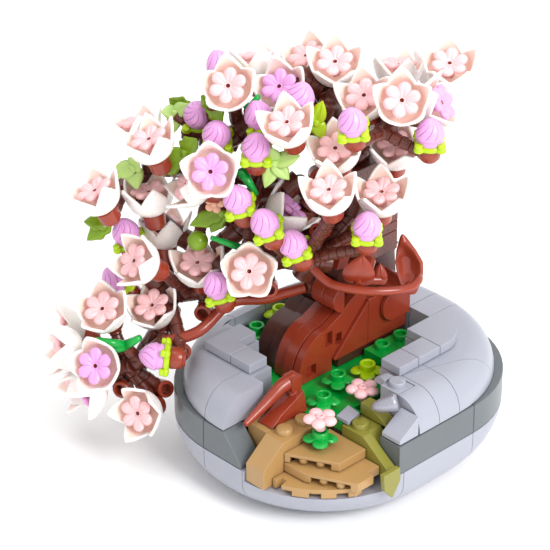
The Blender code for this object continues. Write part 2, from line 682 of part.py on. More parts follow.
def petal_cup(foot=0.0):
    """Five-petalled cup: round collar, bulging wall and pointed petal tips."""
    rim_out, rim_in = [], []
    for k in range(10):
        turn = 2.0 * pi * k / 10
        reach, height = (BLOOM_RIM, PETAL_VALLEY) if k % 2 else (BLOOM_RIM + 0.3, BLOOM_TIP)
        inner = reach - PETAL_WALL
        rim_out.append((reach * cos(turn), reach * sin(turn), height))
        rim_in.append((inner * cos(turn), inner * sin(turn), height - 0.25))
    rings = [ring_at(10, BLOOM_COLLAR, 0.0), ring_at(10, 6.3, 3.2), rim_out, rim_in, ring_at(10, 4.6, 2.6)]
    if foot:
        rings.insert(0, ring_at(10, BLOOM_COLLAR - 0.2, -foot))
    return loft("cup", rings)


def inner_flower():
    """Six petals with notches between them, on a short stalk in the cup."""
    under, over = [], []
    for k in range(12):
        turn = 2.0 * pi * k / 12
        reach, lift = (3.6, 6.0) if k % 2 else (FLOWER_RADIUS, 7.0)
        under.append((reach * 0.92 * cos(turn), reach * 0.92 * sin(turn), lift - 1.1))
        over.append((reach * cos(turn), reach * sin(turn), lift))
    stalk = ring_at(6, 1.7, 1.6)
    verts = stalk + under + over + [(0.0, 0.0, 5.6)]
    faces = [tuple(range(6))]
    for i in range(6):
        j = (i + 1) % 6
        left, middle, right = 6 + 2 * i, 7 + 2 * i, 6 + 2 * j
        faces += [(i, middle, left), (i, j, middle), (j, right, middle)]
    for i in range(12):
        j = (i + 1) % 12
        faces += [(6 + i, 6 + j, 18 + j, 18 + i), (18 + i, 18 + j, 30)]
    return mesh_object("petals", verts, faces)


def bloom_mesh():
    """One bloom as a single body, shared by all the separate blooms."""
    made = fuse("bloom_pattern", [petal_cup(), inner_flower()], WHITE)
    mesh = made.data
    bpy.data.objects.remove(made, do_unlink=True)
    return mesh


def seated(parts, base, tilt, heading, spin=0.0, lift=0.0):
    """Place parts on a base point, lifted along their own axis."""
    spot = Vector(base) + axis_of(tilt, heading) * lift
    for part in parts:
        part.matrix_basis = Matrix.Translation(spot * MM) @ lean(tilt, heading, spin) @ part.matrix_basis
    return parts


def cup_brick(base, tilt, heading):
    """The round brick under a bloom or a bud, with its top at the base."""
    piece = turned("cup_brick", [(CUP_BRICK_RADIUS - 0.3, -CUP_BRICK_HEIGHT), (CUP_BRICK_RADIUS, 0.0)], 8)
    return seated([piece], base, tilt, heading)


def bud(base, tilt, heading):
    """A swirled bud on its four-lobed calyx and its round brick."""
    calyx = []
    for k in range(8):
        turn = 2.0 * pi * k / 8
        reach = CALYX_RADIUS if k % 2 else 3.4
        calyx.append((reach * cos(turn), reach * sin(turn), 0.9))
    rings = [ring_at(8, 3.0, -CUP_BRICK_HEIGHT), ring_at(8, CUP_BRICK_RADIUS, 0.0), calyx]
    for share, height, twist in ((0.76, 1.7, 0.0), (1.0, 4.8, 20.0), (0.36, BUD_HEIGHT, 46.0)):
        rings.append(ring_at(8, BUD_RADIUS * share, height, twist))
    return seated([loft("bud", rings)], base, tilt, heading)


def leaf_plant(base, tilt, heading, count):
    """A plant of pointed leaves that spread from one root."""
    parts = [turned("heart", [(1.4, -1.4), (1.6, 1.0)], 5)]
    size = 3.0 * count
    for k in range(count):
        leaf = leaf_solid(size * 0.56, size, 1.4)
        leaf.matrix_basis = (Matrix.Rotation(2.0 * pi * k / count, 4, "Z")
                             @ Matrix.Rotation(radians(LEAF_SPREAD), 4, "X"))
        parts.append(leaf)
    return seated(parts, base, tilt, heading)


@dataclass(frozen=True)
class Bloom:
    """A bloom: base point, tilt from upright and compass heading in degrees."""

    base: tuple
    tilt: float
    heading: float
    label: str = ""


@dataclass(frozen=True)
class Spray:
    """A branch: the runs of its bars and what it carries."""

    name: str
    runs: tuple
    blooms: tuple
    buds: tuple
    plants: tuple


# A bloom with a label is a separate piece, and the others are one with their branch
SPRAYS = (
    Spray("spray_top_left",
          (((-3.9, 17.2, 98), (-7.6, 20.9, 98), (-16, 19, 98), (-26, 14, 98), (-38, 12, 96)),),
          (Bloom((-31, 4, 114), 45, -100, "top_left"), Bloom((-16, 14.3, 108), 40, -115, "top_left_lilac"),
           Bloom((-2, 17, 113), 25, -95, "top_middle"), Bloom((-14, -9, 107), 25, -120, "upper_left_middle"),
           Bloom((-24, 23, 109), 20, 110), Bloom((-8, 28, 109), 25, -150)),
          (((-41, 13, 101), 40, -90), ((-35, 2, 99), 20, -100), ((-22, 0.5, 105), 20, 180),
           ((-24, -6, 99), 15, -90), ((-13, -1.2, 111.6), 15, 0), ((-32, 13, 116), 25, 150)),
          (((-45, 21, 103), 40, 90, 3), ((-19, -7, 98), 50, -80, 3), ((-28, 6, 108), 20, -60, 2),
           ((-7, -1, 109), 30, -120, 2))),
    Spray("spray_top_right",
          (((4.5, 17.2, 98), (7.8, 20.5, 98), (16, 19, 99), (25, 16, 100)),
           ((7.8, 20.5, 98), (16, 19, 99), (13, 4, 105.5), (10, -6, 107))),
          (Bloom((7, 5, 109), 30, -110, "top_right"), Bloom((16, -4, 114), 45, -90, "top_right_front"),
           Bloom((30, 18, 112), 22, -90, "top_right_end"), Bloom((16, 25, 106), 12, 90),
           Bloom((26, 35, 102), 20, 60), Bloom((22, 3, 110), 60, -20), Bloom((15, 6, 92), 18, -95)),
          (((24, -9, 105), 10, -90), ((3, -14, 111), 15, -120)),
          ()),
    Spray("spray_left",
          (((-1.35, 9.35, 83), (-5.4, 5.3, 83), (-16, 8, 83), (-26, 10, 84), (-40, 14, 84), (-54, 19, 82),
            (-63, 14, 78)),),
          (Bloom((-52, 1, 95), 20, -160, "left_high"), Bloom((-67, 0, 79), 25, -170, "left_end"),
           Bloom((-36, -7, 95), 60, -95, "left_lilac"), Bloom((-1, -4, 96.5), 25, -110, "upper_middle"),
           Bloom((-57, 13, 93), 20, 140), Bloom((-54, 7, 74), 12, 150), Bloom((-38, 1, 85), 65, -170)),
          (((-28, -9, 84), 20, -150),),
          (((-62, 11, 84), 60, -150, 3), ((-47, 7, 87), 60, -120, 2), ((-72, 4, 69), 60, -160, 3),
           ((-39, 4, 75), 50, -90, 3), ((-27, -6, 89), 60, -60, 2))),
    Spray("spray_middle",
          (((-1.35, 10.8, 62), (-5.4, 6.75, 62), (-14, 4, 61), (-24, 5, 57), (-36, 5, 50), (-46, 8, 46),
            (-54, 12, 44)),
           ((-5.4, 6.75, 62), (-7, 0, 65), (-10, -6, 67), (-15, -8, 68))),
          (Bloom((-3, -18, 90.5), 20, -110, "middle_right"), Bloom((11, -6, 83), 15, -90, "lower_right"),
           Bloom((-19, -2, 76), 45, 5),
           Bloom((-54, -2, 61), 55, -150, "left_middle"), Bloom((-40.5, 5, 53.5), 20, -110, "left_inner"),
           Bloom((-26, -5, 62), 60, -90, "front_open"), Bloom((-51, 14, 59), 12, 110)),
          (((-61, 7, 63.5), 15, -170), ((-63, 10, 47), 40, -170), ((-34, -6, 54), 20, -160),
           ((-20, -13, 79), 25, -150), ((-12, -11, 71), 25, -160), ((7, -17, 80), 10, -90)),
          (((-73, 9, 45), 60, 170, 2),)),
    Spray("spray_low",
          (((-6.8, 10.85, 49.5), (-10.25, 7.4, 49.5), (-16, 6.6, 48), (-22, 6, 46.3), (-32, 4, 46),
            (-41, -4, 41), (-51, -5, 38), (-60, -7.5, 31.5), (-66, -2, 26)),),
          (Bloom((-67, -1, 43), 35, -115, "low_left"), Bloom((-53, 5, 40), 30, -120, "low_inner"),
           Bloom((-68, -12, 34), 60, -110, "low_lilac"), Bloom((-55, -11, 19), 75, -120, "low_end"),
           Bloom((-76, 12, 29), 75, 180), Bloom((-75, -5, 35), 85, 190),
           Bloom((-73, 6, 18), 95, -160), Bloom((-70, -8, 27), 125, -150)),
          (((-49, -12, 37), 85, 180),),
          (((-60, -11, 38), 50, -60, 2),)),
)


def build_sprays():
    """Branches of bars and round bricks, with the separate blooms on them."""
    shared = bloom_mesh()
    made = []
    for spray in SPRAYS:
        parts = []
        for run in spray.runs:
            for a, b in zip(run, run[1:]):
                parts.append(rod(a, b, 2.0, 6))
            for point in run[2::2]:
                parts.append(turned("knot", [(2.7, -1.8), (2.7, 1.8)], 6, None, point))
        for bloom in spray.blooms:
            place = (bloom.base, bloom.tilt, bloom.heading)
            parts += twig(*place, spray.runs)
            if bloom.label:
                parts += cup_brick(*place)
                item = bpy.data.objects.new("bloom_" + bloom.label, shared)
                bpy.context.scene.collection.objects.link(item)
                made += seated([item], *place, 18.0, GAP)
            else:
                parts += seated([petal_cup(CUP_BRICK_HEIGHT), inner_flower()], *place)
        for place in spray.buds:
            parts += bud(*place) + twig(*place, spray.runs)
        for base, tilt, heading, count in spray.plants:
            parts += leaf_plant(base, tilt, heading, count) + twig(base, tilt, heading, spray.runs, 0.4)
        made.append(fuse(spray.name, parts, DARK_BROWN))
    return made


def nearest_on(start, end, point):
    """The point of a segment that lies nearest to a point."""
    start, end, point = Vector(start), Vector(end), Vector(point)
    run = end - start
    share = max(0.0, min(1.0, (point - start).dot(run) / run.length_squared))
    return start + run * share


def twig(base, tilt, heading, runs, drop=CUP_BRICK_HEIGHT - 1.0):
    """A straight bar from a round brick's foot to the nearest point of a run."""
    foot = Vector(base) - axis_of(tilt, heading) * drop
    options = [nearest_on(a, b, foot) for run in runs for a, b in zip(run[1:], run[2:])]
    root = min(options, key=lambda point: (point - foot).length)
    if (root - foot).length < 1.0:
        return []
    return [rod(root + (root - foot).normalized() * 0.7, foot, TWIG_RADIUS, 4)]


def shade(item):
    """Shade round walls smooth and keep brick edges crisp."""
    item.data.shade_smooth()
    item.data.set_sharp_from_angle(angle=radians(35.0))


def main():
    """Build the whole part."""
    clear_scene()
    grid = bpy.data.objects.new("stud_grid", None)
    grid.rotation_euler[2] = GRID_TURN
    bpy.context.scene.collection.objects.link(grid)
    on_grid = build_bowl() + build_belt() + build_dome() + build_raised_tiles() + build_core()
    garden = build_garden()
    trunk = build_trunk()
    world_made = [item for item in garden + trunk if item.name in WORLD_PIECES]
    on_grid += [item for item in garden + trunk if item.name not in WORLD_PIECES]
    on_grid += [item for item in bpy.data.objects if item.name.endswith("_cutter")]
    for item in on_grid:
        item.parent = grid
    for item in on_grid + world_made + build_sprays():
        shade(item)


if __name__ == "__main__":
    main()
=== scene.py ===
"""Dressed scene of a brick-built cherry blossom bonsai in a round grey pot.

Meshes are made in millimetres and become metres when they turn into objects.
World X runs to the right, Y away from the camera and Z up. The pot, the rock
garden and the trunk stand on a stud grid that is turned 45 degrees: grid X
runs to the front right and grid Y to the back right. Branches and blooms are
placed in the world.
"""

from __future__ import annotations

import logging
from dataclasses import dataclass, field
from enum import Enum
from math import cos, exp, pi, radians, sin, sqrt

import bmesh
import bpy
from mathutils import Matrix, Vector


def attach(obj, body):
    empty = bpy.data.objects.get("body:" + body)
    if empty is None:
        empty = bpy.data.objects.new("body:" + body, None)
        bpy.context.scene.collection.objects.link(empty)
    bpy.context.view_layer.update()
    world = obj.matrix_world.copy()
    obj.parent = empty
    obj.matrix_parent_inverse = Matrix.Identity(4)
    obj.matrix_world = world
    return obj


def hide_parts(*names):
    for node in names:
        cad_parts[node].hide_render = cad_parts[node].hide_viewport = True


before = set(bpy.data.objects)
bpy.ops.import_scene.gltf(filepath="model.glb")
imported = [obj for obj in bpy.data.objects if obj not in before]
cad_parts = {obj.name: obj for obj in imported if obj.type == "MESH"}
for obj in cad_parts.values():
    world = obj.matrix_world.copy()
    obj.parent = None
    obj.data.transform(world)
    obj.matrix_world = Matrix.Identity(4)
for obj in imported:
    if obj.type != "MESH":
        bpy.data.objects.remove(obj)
LOG = logging.getLogger("bonsai")

# Shared sizes in millimetres
MM = 0.001
GRID = Matrix.Rotation(radians(-45.0), 4, "Z")
WORLD = Matrix.Identity(4)
BODY = "root"
GAP = 0.3
PLATE = 3.2
BRICK = 9.6
SEAM = 0.18
EDGE = 0.22
FINE_SEAM = 0.1
OVERLAP = 0.05
STUD_RADIUS = 2.4
STUD_HOLE = 1.5
STUD_HEIGHT = 1.7
STUD_SIDES = 28
ROUND_BRICK_RADIUS = 3.3
ROUND_BRICK_HEIGHT = 4.6
CORNER_STEPS = 14
BELT_BOTTOM = 16.0
BELT_TOP = BELT_BOTTOM + BRICK
DOME_TOP = BELT_TOP + BRICK
TILE_TOP = DOME_TOP + PLATE
CORE_TOP = BELT_TOP - PLATE
NOTCH_FLOOR = BELT_BOTTOM - PLATE

Point = tuple[float, float, float]
Spot = tuple[float, float]
Outline = list[Spot]
Ring = list[Point]

X_AXIS: Point = (1.0, 0.0, 0.0)
Y_AXIS: Point = (0.0, 1.0, 0.0)
Z_AXIS: Point = (0.0, 0.0, 1.0)


def linear(colour: str) -> tuple[float, float, float, float]:
    """Turn an sRGB hex colour to linear red, green, blue and alpha.

    Args:
        colour: Six hex digits after a hash sign.

    Returns:
        The four linear channels.
    """
    channels = []
    for start in (1, 3, 5):
        value = int(colour[start:start + 2], 16) / 255.0
        channels.append(value / 12.92 if value <= 0.04045 else ((value + 0.055) / 1.055) ** 2.4)
    return (channels[0], channels[1], channels[2], 1.0)


def add_node(tree: bpy.types.NodeTree, kind: str, inputs: dict[str | int, object] | None = None,
             **settings: object) -> bpy.types.Node:
    """Add a node with its settings, values and links.

    Args:
        tree: The node tree that takes the node.
        kind: The node's type name.
        inputs: A value or an output socket for each input, by name or place.
        settings: Attributes of the node itself.

    Returns:
        The new node.
    """
    node = tree.nodes.new(kind)
    for key, value in settings.items():
        setattr(node, key, value)
    for key, value in (inputs or {}).items():
        if isinstance(value, bpy.types.NodeSocket):
            tree.links.new(value, node.inputs[key])
        else:
            node.inputs[key].default_value = value
    return node


@dataclass(frozen=True)
class MouldedPlastic:
    """Injection-moulded ABS: an even, glossy skin with faint flow ripples."""

    name: str
    slot: str
    colour: str
    shade: str
    roughness: float = 0.22
    glow: float = 0.0
    mottle_mm: float = 9.0
    ripple_mm: float = 3.0
    ripple_height_mm: float = 0.05
    scuff_mm: float = 0.6
    gloss_spread: float = 0.03
    ior: float = 1.53
    light_depth_mm: float = 1.2

    def build(self) -> bpy.types.Material:
        """Return the material, made at its first use.

        Returns:
            The node material of this finish.
        """
        known = bpy.data.materials.get(self.name)
        if known:
            return known
        made = bpy.data.materials.new(self.name)
        made.use_nodes = True
        tree = made.node_tree
        shader = tree.nodes["Principled BSDF"]
        place = add_node(tree, "ShaderNodeTexCoord").outputs["Object"]
        mottle = add_node(tree, "ShaderNodeTexNoise", {
            "Vector": place, "Scale": 1.0 / (self.mottle_mm * MM), "Detail": 3.0})
        tone = add_node(tree, "ShaderNodeMix", {
            "Factor": mottle.outputs["Fac"], 6: linear(self.colour), 7: linear(self.shade)},
            data_type="RGBA")
        scuff = add_node(tree, "ShaderNodeTexNoise", {
            "Vector": place, "Scale": 1.0 / (self.scuff_mm * MM), "Detail": 2.0})
        gloss = add_node(tree, "ShaderNodeMapRange", {
            "Value": scuff.outputs["Fac"], "To Min": self.roughness - self.gloss_spread,
            "To Max": self.roughness + self.gloss_spread})
        ripple = add_node(tree, "ShaderNodeTexNoise", {
            "Vector": place, "Scale": 1.0 / (self.ripple_mm * MM), "Detail": 1.0})
        bump = add_node(tree, "ShaderNodeBump", {
            "Height": ripple.outputs["Fac"], "Strength": 0.1, "Distance": self.ripple_height_mm * MM})
        self.dress(tree, shader, tone.outputs[2], gloss.outputs["Result"], bump.outputs["Normal"])
        return made

    def dress(self, tree: bpy.types.NodeTree, shader: bpy.types.Node, tone: bpy.types.NodeSocket,
              gloss: bpy.types.NodeSocket, normal: bpy.types.NodeSocket) -> None:
        """Link colour, gloss and relief to the shader and set its steady values.

        Args:
            tree: The material's node tree.
            shader: Its surface shader.
            tone: The colour's socket.
            gloss: The roughness socket.
            normal: The relief's socket.
        """
        tree.links.new(tone, shader.inputs["Base Color"])
        tree.links.new(gloss, shader.inputs["Roughness"])
        tree.links.new(normal, shader.inputs["Normal"])
        shader.inputs["IOR"].default_value = self.ior
        if self.glow:
            shader.inputs["Subsurface Weight"].default_value = self.glow
            shader.inputs["Subsurface Radius"].default_value = (1.0, 0.5, 0.4)
            shader.inputs["Subsurface Scale"].default_value = self.light_depth_mm * MM


@dataclass(frozen=True)
class PearlPlastic(MouldedPlastic):
    """Moulded ABS with metal flake in it, so highlights glitter in grains."""

    flake_mm: float = 0.5

    def dress(self, tree: bpy.types.NodeTree, shader: bpy.types.Node, tone: bpy.types.NodeSocket,
              gloss: bpy.types.NodeSocket, normal: bpy.types.NodeSocket) -> None:
        """Dress the shader as plain plastic, then add the flakes' grain.

        Args:
            tree: The material's node tree.
            shader: Its surface shader.
            tone: The colour's socket.
            gloss: The roughness socket.
            normal: The relief's socket.
        """
        super().dress(tree, shader, tone, gloss, normal)
        place = add_node(tree, "ShaderNodeTexCoord").outputs["Object"]
        flake = add_node(tree, "ShaderNodeTexVoronoi", {
            "Vector": place, "Scale": 1.0 / (self.flake_mm * MM)})
        grain = add_node(tree, "ShaderNodeMapRange", {
            "Value": flake.outputs["Distance"], "To Min": 0.22, "To Max": 0.42})
        tree.links.new(grain.outputs["Result"], shader.inputs["Roughness"])
        shader.inputs["Metallic"].default_value = 0.45


# Light bluish grey brick plastic: cool, mid gloss, soft grey reflections
GREY_ABS = MouldedPlastic("abs_light_grey_moulded", "light_grey", "#A2A4B0", "#9D9FAB", 0.32)
# Dark bluish grey brick plastic of the belt
SLATE_ABS = MouldedPlastic("abs_dark_grey_moulded", "dark_grey", "#60666A", "#5B6165", 0.32)
# Dark brown brick plastic of the hidden core and the shaded trunk bricks
DARK_BROWN_ABS = MouldedPlastic("abs_dark_brown_moulded", "core_brown", "#4E2B24", "#472620", 0.24)
# Reddish brown brick plastic: warm, glossy, bright edges
RED_BROWN_ABS = MouldedPlastic("abs_reddish_brown_moulded", "red_brown", "#963823", "#8E341F", 0.26)
# Painted shade: a darker copy of the reddish brown plastic for the branch bricks and the upper trunk, which
# stand in the crown's shade
SHADED_RED_BROWN_ABS = MouldedPlastic("abs_reddish_brown_painted_shade_moulded", "core_brown", "#662E22", "#5E291E", 0.28)
# Tan brick plastic of the sand slopes
TAN_ABS = MouldedPlastic("abs_tan_moulded", "tan", "#AF8A58", "#A98452", 0.3)
# Olive green brick plastic of the mossy slopes
OLIVE_ABS = MouldedPlastic("abs_olive_green_moulded", "olive", "#8A8638", "#827E32", 0.3)
# Bright green brick plastic of the bed plates
GREEN_ABS = MouldedPlastic("abs_bright_green_moulded", "green", "#00A63E", "#009838", 0.24)
# Lime plastic of the calyxes: bright and a little see-through
LIME_ABS = MouldedPlastic("abs_lime_moulded", "lime", "#B7DA0A", "#ACCF05", 0.24, 0.15)
# Softer, paler green plastic of the small leaves
PALE_GREEN_ABS = MouldedPlastic("abs_pale_green_moulded", "lime", "#B9D87E", "#AECE70", 0.32, 0.15)
# Deep lime plastic of the lobed leaves
LEAF_GREEN_ABS = MouldedPlastic("abs_leaf_green_moulded", "lime", "#7DA016", "#719412", 0.26, 0.1)
# White cup plastic, slightly translucent, with a breath of pink
WHITE_ABS = MouldedPlastic("abs_white_petal_moulded", "white", "#FDF7F4", "#FBF2EE", 0.28, 0.3)
# Painted reflection: the inside of the white cups is tinted rosy peach where light gathers between the
# petals
CUP_REFLECTION_ABS = MouldedPlastic("abs_cup_inside_painted_reflection", "white", "#FFE8DD", "#FEE2D5", 0.32, 0.3)
# Light pink plastic of the inner flowers
PINK_ABS = MouldedPlastic("abs_light_pink_moulded", "pink", "#F8C6C9", "#F6BFC2", 0.32, 0.25)
# Lilac pink plastic of the buds and a few inner flowers
LILAC_ABS = MouldedPlastic("abs_lilac_pink_moulded", "pink", "#E6A8DF", "#E19FDA", 0.32, 0.2)
# Painted shade: a darker lilac on the faces along the buds' narrow grooves, where little light comes out
LILAC_GROOVE_SHADE_ABS = MouldedPlastic("abs_lilac_painted_groove_shade", "pink", "#B065B0", "#A85CA8", 0.38)
# Peach plastic of one small flower
PEACH_ABS = MouldedPlastic("abs_peach_moulded", "pink", "#EDB59A", "#E8AB90", 0.28, 0.2)
# Pearl silver plastic of the small cone
SILVER_ABS = PearlPlastic("abs_pearl_silver_moulded", "silver", "#A4A5B0", "#9A9BA7", 0.3)


class Form:
    """A mesh in the making, in millimetres, with a material slot for each face."""

    def __init__(self) -> None:
        """Start with an empty mesh."""
        self.mesh = bmesh.new()

    def add(self, verts: list, faces: list, slots: list[int] | int = 0, place: Matrix = WORLD) -> None:
        """Add points and faces.

        Args:
            verts: Points in millimetres.
            faces: Lists of point numbers.
            slots: One material slot, or one for each face.
            place: Where the points go.
        """
        made = [self.mesh.verts.new(place @ Vector(vert)) for vert in verts]
        for number, face in enumerate(faces):
            new = self.mesh.faces.new([made[i] for i in face])
            new.material_index = slots if isinstance(slots, int) else slots[number]
            new.smooth = True

    def loft(self, rings: list[Ring], slots: list[int] | int = 0, place: Matrix = WORLD) -> None:
        """Join rings of equal length into a skin with flat ends.

        Args:
            rings: Rings of points, each closed on itself.
            slots: One material slot, or one for each band between rings.
            place: Where the points go.
        """
        count = len(rings[0])
        verts = [point for ring in rings for point in ring]
        faces, numbers = [], []
        for row in range(len(rings) - 1):
            low, high = row * count, row * count + count
            for i in range(count):
                j = (i + 1) % count
                faces.append((low + i, low + j, high + j, high + i))
                numbers.append(slots if isinstance(slots, int) else slots[row])
        faces.append(tuple(range(count - 1, -1, -1)))
        faces.append(tuple(range(len(verts) - count, len(verts))))
        self.add(verts, faces, numbers + [numbers[0], numbers[-1]], place)

    def prism(self, outline: Outline, bottom: float, top: float) -> None:
        """Raise a flat outline from bottom to top."""
        self.loft([[(x, y, z) for x, y in outline] for z in (bottom, top)])

    def bar(self, outline: Outline, start: float, end: float, axis: Point, slot: int = 0) -> None:
        """Run an upright outline along grid X or grid Y.

        Args:
            outline: Points of (across, height).
            start: Where it starts along the axis.
            end: Where it ends along the axis.
            axis: X_AXIS or Y_AXIS.
            slot: Its material slot.
        """
        rings = []
        for spot in (start, end):
            rings.append([(spot, a, z) if axis == X_AXIS else (a, spot, z) for a, z in outline])
        self.loft(rings, slot)

    def turned(self, profile: Outline, sides: int = 24, slots: list[int] | int = 0,
               place: Matrix = WORLD) -> None:
        """Turn a profile of (radius, height) points round the Z axis."""
        self.loft([ring_at(sides, radius, height) for radius, height in profile], slots, place)

    def tube(self, points: list[Point], radii: list[float], sides: int = 14, slot: int = 0) -> None:
        """Run a round bar through points.

        Args:
            points: The points of its middle line.
            radii: Its radius at each point.
            sides: How many sides its ring has.
            slot: Its material slot.
        """
        path = [Vector(point) for point in points]
        rings = []
        for i, centre in enumerate(path):
            ahead = (path[min(i + 1, len(path) - 1)] - path[max(i - 1, 0)]).normalized()
            side = ahead.cross(Vector(Z_AXIS))
            side = side.normalized() if side.length > 0.01 else Vector(X_AXIS)
            lift = side.cross(ahead).normalized()
            ring = []
            for x, y, _ in ring_at(sides, radii[i], 0.0):
                ring.append(tuple(centre + side * x + lift * y))
            rings.append(ring)
        self.loft(rings, slot)

    def split(self, point: Point, normal: Point, seam: float = SEAM) -> None:
        """Open a fine seam across everything made so far.

        Args:
            point: A point on the seam's plane.
            normal: The direction across the seam.
            seam: How wide the seam is.
        """
        across = Vector(normal).normalized()
        halves = []
        for side in (1.0, -1.0):
            half = self.mesh.copy()
            cut = bmesh.ops.bisect_plane(
                half, geom=half.verts[:] + half.edges[:] + half.faces[:], dist=0.0001,
                plane_co=Vector(point) + across * (side * seam / 2.0), plane_no=across * side,
                clear_inner=True)
            rim = [item for item in cut["geom_cut"] if isinstance(item, bmesh.types.BMEdge)]
            bmesh.ops.holes_fill(half, edges=rim, sides=0)
            held = bpy.data.meshes.new("half")
            half.to_mesh(held)
            half.free()
            halves.append(held)
        self.mesh.clear()
        for held in halves:
            self.mesh.from_mesh(held)
            bpy.data.meshes.remove(held)

    def seams(self, axis: Point, *spots: float, seam: float = SEAM) -> None:
        """Open seams square to an axis.

        Args:
            axis: X_AXIS, Y_AXIS or Z_AXIS.
            spots: Where the seams are along the axis.
            seam: How wide each seam is.
        """
        for spot in spots:
            self.split(tuple(spot * share for share in axis), axis, seam)

    def to_mesh(self, name: str, finishes: list[MouldedPlastic], place: Matrix = GRID) -> bpy.types.Mesh:
        """Write the form to a mesh in metres.

        Args:
            name: The mesh's name.
            finishes: The finish of each material slot.
            place: The turn from the form's own axes to the world.

        Returns:
            The finished mesh.
        """
        bmesh.ops.recalc_face_normals(self.mesh, faces=self.mesh.faces)
        mesh = bpy.data.meshes.new(name)
        self.mesh.to_mesh(mesh)
        self.mesh.free()
        mesh.transform(Matrix.Scale(MM, 4) @ place)
        for finish in finishes:
            mesh.materials.append(finish.build())
        return mesh

    def to_object(self, name: str, finishes: list[MouldedPlastic], place: Matrix = GRID,
                  edge: float = EDGE) -> bpy.types.Object:
        """Write the form to an object, with its moulded edges rounded.

        Args:
            name: The object's name.
            finishes: The finish of each material slot.
            place: The turn from the form's own axes to the world.
            edge: Width of the rounding, or nothing for none.

        Returns:
            The new object.
        """
        item = bpy.data.objects.new(name, self.to_mesh(name, finishes, place))
        bpy.context.scene.collection.objects.link(item)
        if edge:
            soften(item, edge)
        return item


def soften(item: bpy.types.Object, width: float) -> None:
    """Round the sharp edges of a piece as a mould does.

    Args:
        item: The piece.
        width: The rounding's width in millimetres.
    """
    bevel = item.modifiers.new("Mould edge", "BEVEL")
    bevel.width = width * MM
    bevel.segments = 2
    bevel.limit_method = "ANGLE"
    bevel.angle_limit = radians(32.0)
    bevel.harden_normals = True


def carve(item: bpy.types.Object, knife: bpy.types.Object) -> None:
    """Cut one piece with another and keep the result.

    Args:
        item: The piece that is cut.
        knife: The shape that is taken away, and removed.
    """
    step = item.modifiers.new("Carve", "BOOLEAN")
    step.operation = "DIFFERENCE"
    step.solver = "EXACT"
    step.object = knife
    bpy.context.view_layer.update()
    graph = bpy.context.evaluated_depsgraph_get()
    mesh = bpy.data.meshes.new_from_object(item.evaluated_get(graph))
    item.modifiers.clear()
    item.data = mesh
    bpy.data.objects.remove(knife, do_unlink=True)


def present(item: bpy.types.Object, slot: str, *nodes: str) -> None:
    """Report a finished piece and what it stands for.

    Args:
        item: The piece.
        slot: The material slot of the record that it takes its finish from; not used.
        nodes: Nodes of the frame that the piece replaces.
    """
    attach(item, BODY)
    if nodes:
        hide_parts(*nodes)
    LOG.info("made %s for %s", item.name, ", ".join(nodes) or "the whole")


def arc(cx: float, cy: float, radius: float, start: float, end: float, steps: int) -> Outline:
    """Points on an arc, both ends among them.

    Args:
        cx: Its middle's first coordinate.
        cy: Its middle's second coordinate.
        radius: Its radius.
        start: Its first angle in degrees.
        end: Its last angle in degrees.
        steps: How many steps lie between its points.

    Returns:
        The points.
    """
    points = []
    for k in range(steps + 1):
        turn = radians(start + (end - start) * k / steps)
        points.append((cx + radius * cos(turn), cy + radius * sin(turn)))
    return points


def rectangle(left: float, right: float, low: float, high: float) -> Outline:
    """The four corners of an upright rectangle, counter-clockwise."""
    return [(left, low), (right, low), (right, high), (left, high)]


def ring_at(count: int, radius: float, height: float) -> Ring:
    """A level ring of points round the Z axis."""
    turns = arc(0.0, 0.0, radius, 0.0, 360.0 - 360.0 / count, count - 1)
    return [(x, y, height) for x, y in turns]


def moved(x: float, y: float, z: float) -> Matrix:
    """The matrix of a plain move."""
    return Matrix.Translation((x, y, z))


def lean(tilt: float, heading: float, spin: float = 0.0) -> Matrix:
    """Turn Z away from upright.

    Args:
        tilt: How far it leans, in degrees.
        heading: Where it leans to, in degrees round Z from X.
        spin: A turn about the piece's own axis before that, in degrees.

    Returns:
        The turn.
    """
    turn = radians(heading)
    return (Matrix.Rotation(turn, 4, "Z") @ Matrix.Rotation(radians(tilt), 4, "Y")
            @ Matrix.Rotation(radians(spin) - turn, 4, "Z"))


def along(base: Point, direction: Point) -> Matrix:
    """Stand the Z axis along a direction from a base point."""
    turn = Vector(direction).normalized().to_track_quat("Z", "Y")
    return Matrix.Translation(base) @ turn.to_matrix().to_4x4()


def add_stud(form: Form, x: float, y: float, top: float, hollow: bool = False) -> None:
    """Set a stud on a brick, solid or with an open middle.

    Args:
        form: The brick's form.
        x: Place on the grid.
        y: Place on the grid.
        top: Height of the face that carries it.
        hollow: Whether its middle is open.
    """
    profile = [(STUD_RADIUS, -0.8), (STUD_RADIUS, STUD_HEIGHT - 0.25),
               (STUD_RADIUS - 0.08, STUD_HEIGHT - 0.08), (STUD_RADIUS - 0.25, STUD_HEIGHT)]
    if hollow:
        profile += [(STUD_HOLE + 0.15, STUD_HEIGHT), (STUD_HOLE, STUD_HEIGHT - 0.15),
                    (STUD_HOLE, 0.3), (0.05, 0.3)]
    else:
        profile += [(0.05, STUD_HEIGHT)]
    form.turned(profile, STUD_SIDES, 0, moved(x, y, top))


@dataclass(frozen=True)
class RoundBox:
    """A rectangle with round corners, its middle on the grid's origin."""

    half_x: float
    half_y: float
    radius: float

    def corner(self, sx: int, sy: int, start: float, end: float, inset: float = 0.0) -> Outline:
        """The arc at one corner, or a part of it.

        Args:
            sx: 1 for a corner at plus X, -1 at minus X.
            sy: 1 for a corner at plus Y, -1 at minus Y.
            start: Its first angle in degrees.
            end: Its last angle in degrees.
            inset: How far it is drawn in.

        Returns:
            The arc's points.
        """
        return arc(sx * (self.half_x - self.radius), sy * (self.half_y - self.radius),
                   self.radius - inset, start, end, CORNER_STEPS)

    def outline(self) -> Outline:
        """The whole outline, counter-clockwise.

        Returns:
            Its points.
        """
        points: Outline = []
        for sx, sy, start in ((1, 1, 0), (-1, 1, 90), (-1, -1, 180), (1, -1, 270)):
            points += self.corner(sx, sy, start, start + 90)
        return points


